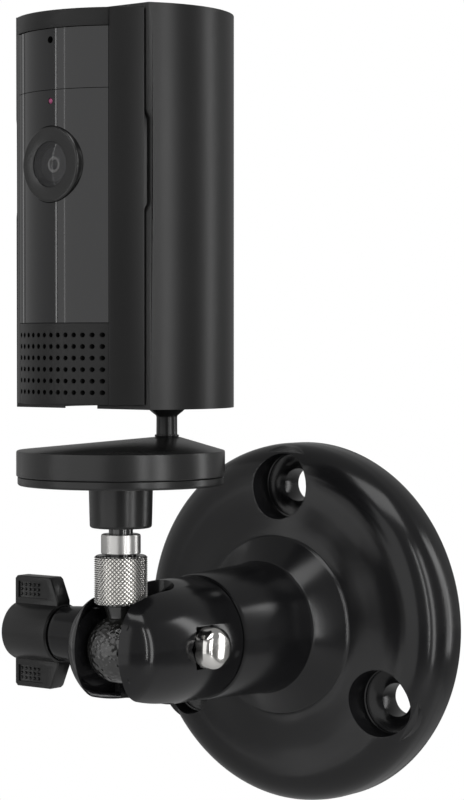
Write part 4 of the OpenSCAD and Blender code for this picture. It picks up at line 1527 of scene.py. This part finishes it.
@dataclass
class CameraFront:
    """The front frame, the two windows, the grille and the lens."""

    front_r: float = 21.75
    core_r: float = 20.98
    wall: float = 2.0
    frame_in: float = 19.5
    window_in: float = 20.35
    half: float = 34.0
    grille_top: float = 16.05
    split: float = 61.85
    band: float = 74.0
    top: float = 77.46
    edge: float = 13.32
    lens_z: float = 47.3
    led_z: float = 59.72
    mic_z: float = 71.72
    bezel_r: float = 7.5
    bezel_y: float = 22.0
    bezel_core: float = 5.0
    bezel_back: float = 18.4
    bezel_end: float = 14.6
    barrel_r: float = 3.45
    glass_r: float = 4.42
    glass_rise: float = 0.6
    recess: float = 1.15
    columns: int = 13
    rows: int = 6
    hole_side: float = 1.15
    hole_low: float = 2.41
    hole_high: float = 2.34

    def forward(self, x: float, z: float) -> Matrix:
        """A place on the front with its +Z out of it."""
        return AT_CAMERA @ move(x, 0, z) @ FORWARD

    def drill(self, name: str, radius: float, z: float) -> Object:
        """A cutter for a straight hole from the front."""
        return rod(name, radius, 0, 40, self.forward(0, z), 48)

    def build_frame(self) -> None:
        """Makes the matt frame: two side strips, the top band and the wall behind the windows."""
        front, core, top = self.front_r, self.core_r, self.top
        reach, inner = angle_at(self.edge, front), angle_at(self.edge, core)
        outline = (arc((0, 0), front, -90 - reach, -90 + reach, 120)
                   + arc((0, 0), core, -90 + inner, -90 - inner, 120))
        piece = prism("front_frame_piece", outline, 0.0, top, AT_CAMERA)
        lining = prism("lining", sector(self.frame_in, core + 0.04, self.half + 12, 120),
                       self.wall + 0.05, top - self.wall - 0.05, AT_CAMERA)
        wide = min(self.half, angle_at(self.edge, front + 0.45))
        band = prism("top_band", sector(front - 0.6, front + 0.42, wide, 90), self.band,
                     top - 0.02, AT_CAMERA)
        combined(piece, [lining, band], Join.FUSE)
        cuts = [prism("window_seat", sector(self.window_in - 0.05, front + 2, self.half, 90),
                      self.grille_top, self.band, AT_CAMERA),
                prism("grille_seat", sector(self.frame_in - 1, front + 2, self.half, 90), -2,
                      self.grille_top + 0.001, AT_CAMERA),
                self.drill("bezel_seat", self.bezel_r + 0.05, self.lens_z),
                self.drill("led_seat", 1.0, self.led_z), self.drill("mic_seat", 1.0, self.mic_z)]
        combined(piece, cuts, Join.CUT)
        rounded(piece, 0.22, 2, 48)
        settled(piece, "camera", Surface.SHELL, ("front_frame",), 30)

    def build_windows(self) -> None:
        """Makes the two glossy windows."""
        outline = sector(self.window_in, self.front_r, self.half - 0.25, 110)
        lower = prism("lower_window_piece", outline, self.grille_top + 0.1, self.split, AT_CAMERA)
        combined(lower, [self.drill("bezel_hole", self.bezel_r + 0.1, self.lens_z),
                         self.drill("led_hole", 0.62, self.led_z)], Join.CUT)
        upper = prism("upper_window_piece", outline, self.split + 0.12, self.band - 0.12,
                      AT_CAMERA)
        combined(upper, [self.drill("mic_hole", 0.7, self.mic_z)], Join.CUT)
        for obj, node in ((lower, "lower_window"), (upper, "upper_window")):
            settled(obj, "camera", Surface.WINDOW, (node,), 30)

    def build_grille(self) -> None:
        """Makes the grille: a curved plate with drilled rows of holes."""
        outline = sector(self.window_in - 0.2, self.front_r, self.half - 0.15, 110)
        grille = prism("speaker_grille_piece", outline, 0.0, self.grille_top, AT_CAMERA)
        rounded(grille, 0.12, 2, 50)
        side = self.front_r * math.sin(math.radians(self.half)) - self.hole_side
        up = (self.grille_top - self.hole_low - self.hole_high) / (self.rows - 1)
        PATTERNS.apply(grille, PATTERNS.holes, AT_CAMERA, Surface.SHELL, Columns=self.columns,
                       Rows=self.rows, Pitch_X=2 * side / (self.columns - 1), Pitch_Z=up,
                       Hole_Radius=0.5, Low=self.hole_low, Depth=44.0)
        settled(grille, "camera", Surface.SHELL, ("speaker_grille",), 30)

    def build_bezel(self, place: Matrix) -> None:
        """Makes the bezel, with a soft outer edge and a step for the glass."""
        r, y, seat, core = self.bezel_r, self.bezel_y, self.glass_r + 0.05, self.bezel_core
        turned("lens_bezel",
               [(core, self.bezel_end), (core, self.bezel_back), (r, self.bezel_back),
                (r, y - 0.4), (r - 0.03, y - 0.26), (r - 0.12, y - 0.12), (r - 0.26, y - 0.03),
                (r - 0.4, y), (r - 0.5, y), (seat + 0.19, y), (seat + 0.09, y - 0.02),
                (seat, y - 0.1), (seat, y - self.recess), (self.barrel_r, y - self.recess),
                (self.barrel_r, self.bezel_end)],
               place, 144, "camera", Surface.BEZEL, 30)

    def build_lens(self) -> None:
        """Makes the lens: its bezel, its domed glass and the bright iris ring behind it."""
        place = self.forward(0, self.lens_z)
        self.build_bezel(place)
        g, rise, base = self.glass_r, self.glass_rise, self.bezel_y - 0.12
        dome = (g * g + rise ** 2) / (2 * rise)
        reach = math.degrees(math.asin(g / dome))
        turned("lens_glass",
               [(0, self.bezel_y - 0.55), (g, self.bezel_y - 0.55), (g, base)]
               + arc((0, base + rise - dome), dome, 90 - reach, 89.5, 18)[1:]
               + [(0, self.bezel_y + 0.48)],
               place, 112, "camera", Surface.GLASS, 30)
        floor = self.bezel_y - self.recess - 0.02
        turned("lens_barrel",
               [(0.95, floor - 1.6), (0.95, floor - 0.5), (1.6, floor - 0.05), (3.4, floor),
                (3.4, 14.2), (0, 14.2), (0, floor - 1.6)],
               place, 96, "camera", Surface.LENS_FLOOR, 30)
        iris = lathe("iris_ring_piece", [(1.0, floor - 0.4), (1.12, floor + 0.06),
                                         (1.5, floor + 0.1), (1.58, floor), (1.5, floor - 0.3)],
                     place, 64)
        settled(iris, "camera", Surface.IRIS, (), 30)

    def build_light(self) -> None:
        """Makes the status light, with its domed end."""
        turned("status_led",
               [(0, 19.0), (0.58, 19.0), (0.58, self.front_r - 0.16)]
               + arc((0, self.front_r - 0.4), 0.6, 24, 88, 8) + [(0, self.front_r + 0.2)],
               self.forward(0, self.led_z), 40, "camera", Surface.LIGHT)

    def build(self) -> None:
        """Makes and dresses the front's pieces."""
        self.build_frame()
        self.build_windows()
        self.build_grille()
        self.build_lens()
        self.build_light()
        dressed("camera", "window_gloss", Surface.SENSOR, "image_sensor")


@dataclass
class CameraBody:
    """The housing, its rear cover and what it holds."""

    cover_in: float = 21.05
    cover_r: float = 22.25
    edge: float = 13.0
    low: float = -0.95
    high: float = 78.49
    hollow_high: float = 77.49
    under_r: float = 13.7
    socket_r: float = 7.2
    socket_y: float = 13.0
    notch_in: float = 12.35
    notch_low: float = 38.3
    notch_high: float = 57.1
    inlet_low: Point3 = (-5.5, 15, 13.75)
    inlet_high: Point3 = (5.5, 30, 20.25)

    def build_cover(self) -> None:
        """Makes the C-shaped rear cover with its top and bottom plates."""
        half = angle_at(self.edge, self.cover_r)
        outline = arc((0, 0), self.cover_r, -90 + half, 270 - half, 240)
        cover = prism("rear_cover_piece", outline, self.low, self.high, AT_CAMERA)
        edge, deep, low, high = -self.edge, -self.notch_in, self.notch_low, self.notch_high
        notch = [(edge - 1, low - 0.6), (edge, low - 0.6), (deep, low + 1.2), (deep, high - 1.2),
                 (edge, high + 0.6), (edge - 1, high + 0.6)]
        combined(cover, [
            rod("cover_hollow", self.cover_in, -0.03, self.hollow_high, AT_CAMERA, 240),
            rod("cover_ring", self.under_r, -2, 0.5, AT_CAMERA, 120),
            rod("cover_socket", self.socket_r, -2, 0.5, AT_CAMERA @ move(0, self.socket_y, 0), 96),
            prism("thumb_notch", notch, -40, 40, AT_CAMERA @ SIDEWAYS),
            box("inlet", self.inlet_low, self.inlet_high, AT_CAMERA)], Join.CUT)
        rounded(cover, 0.28, 3, 45)
        settled(cover, "camera", Surface.COVER, ("rear_cover",), 32)

    def build(self) -> None:
        """Makes and dresses the body's pieces."""
        self.build_cover()
        dressed("camera", "black_plastic", Surface.INNER, "rear_housing")
        dressed("camera", "dark_inner", Surface.INNER, "socket_cup", "socket_ring",
                "speaker_driver", "speaker_clamp")
        dressed("camera", "pcb", Surface.BOARD, "main_board", "sensor_board")
        dressed("camera", "steel", Surface.STEEL, "board_screws", "microphone", "power_inlet")
        dressed("camera", "brass", Surface.BRASS, "antenna")
        dressed("camera", "led", Surface.SENSOR, "infrared_leds")


def main() -> None:
    """Builds the studio and every sub-assembly in order."""
    logging.basicConfig(level=logging.INFO, format="%(name)s: %(message)s")
    Studio().build()
    for part in (WallFlange(), ClampArm(), WingNut(), BallStud(), CameraStand(), StemPost(),
                 CameraBody(), CameraFront()):
        part.build()


if __name__ == "__main__":
    main()
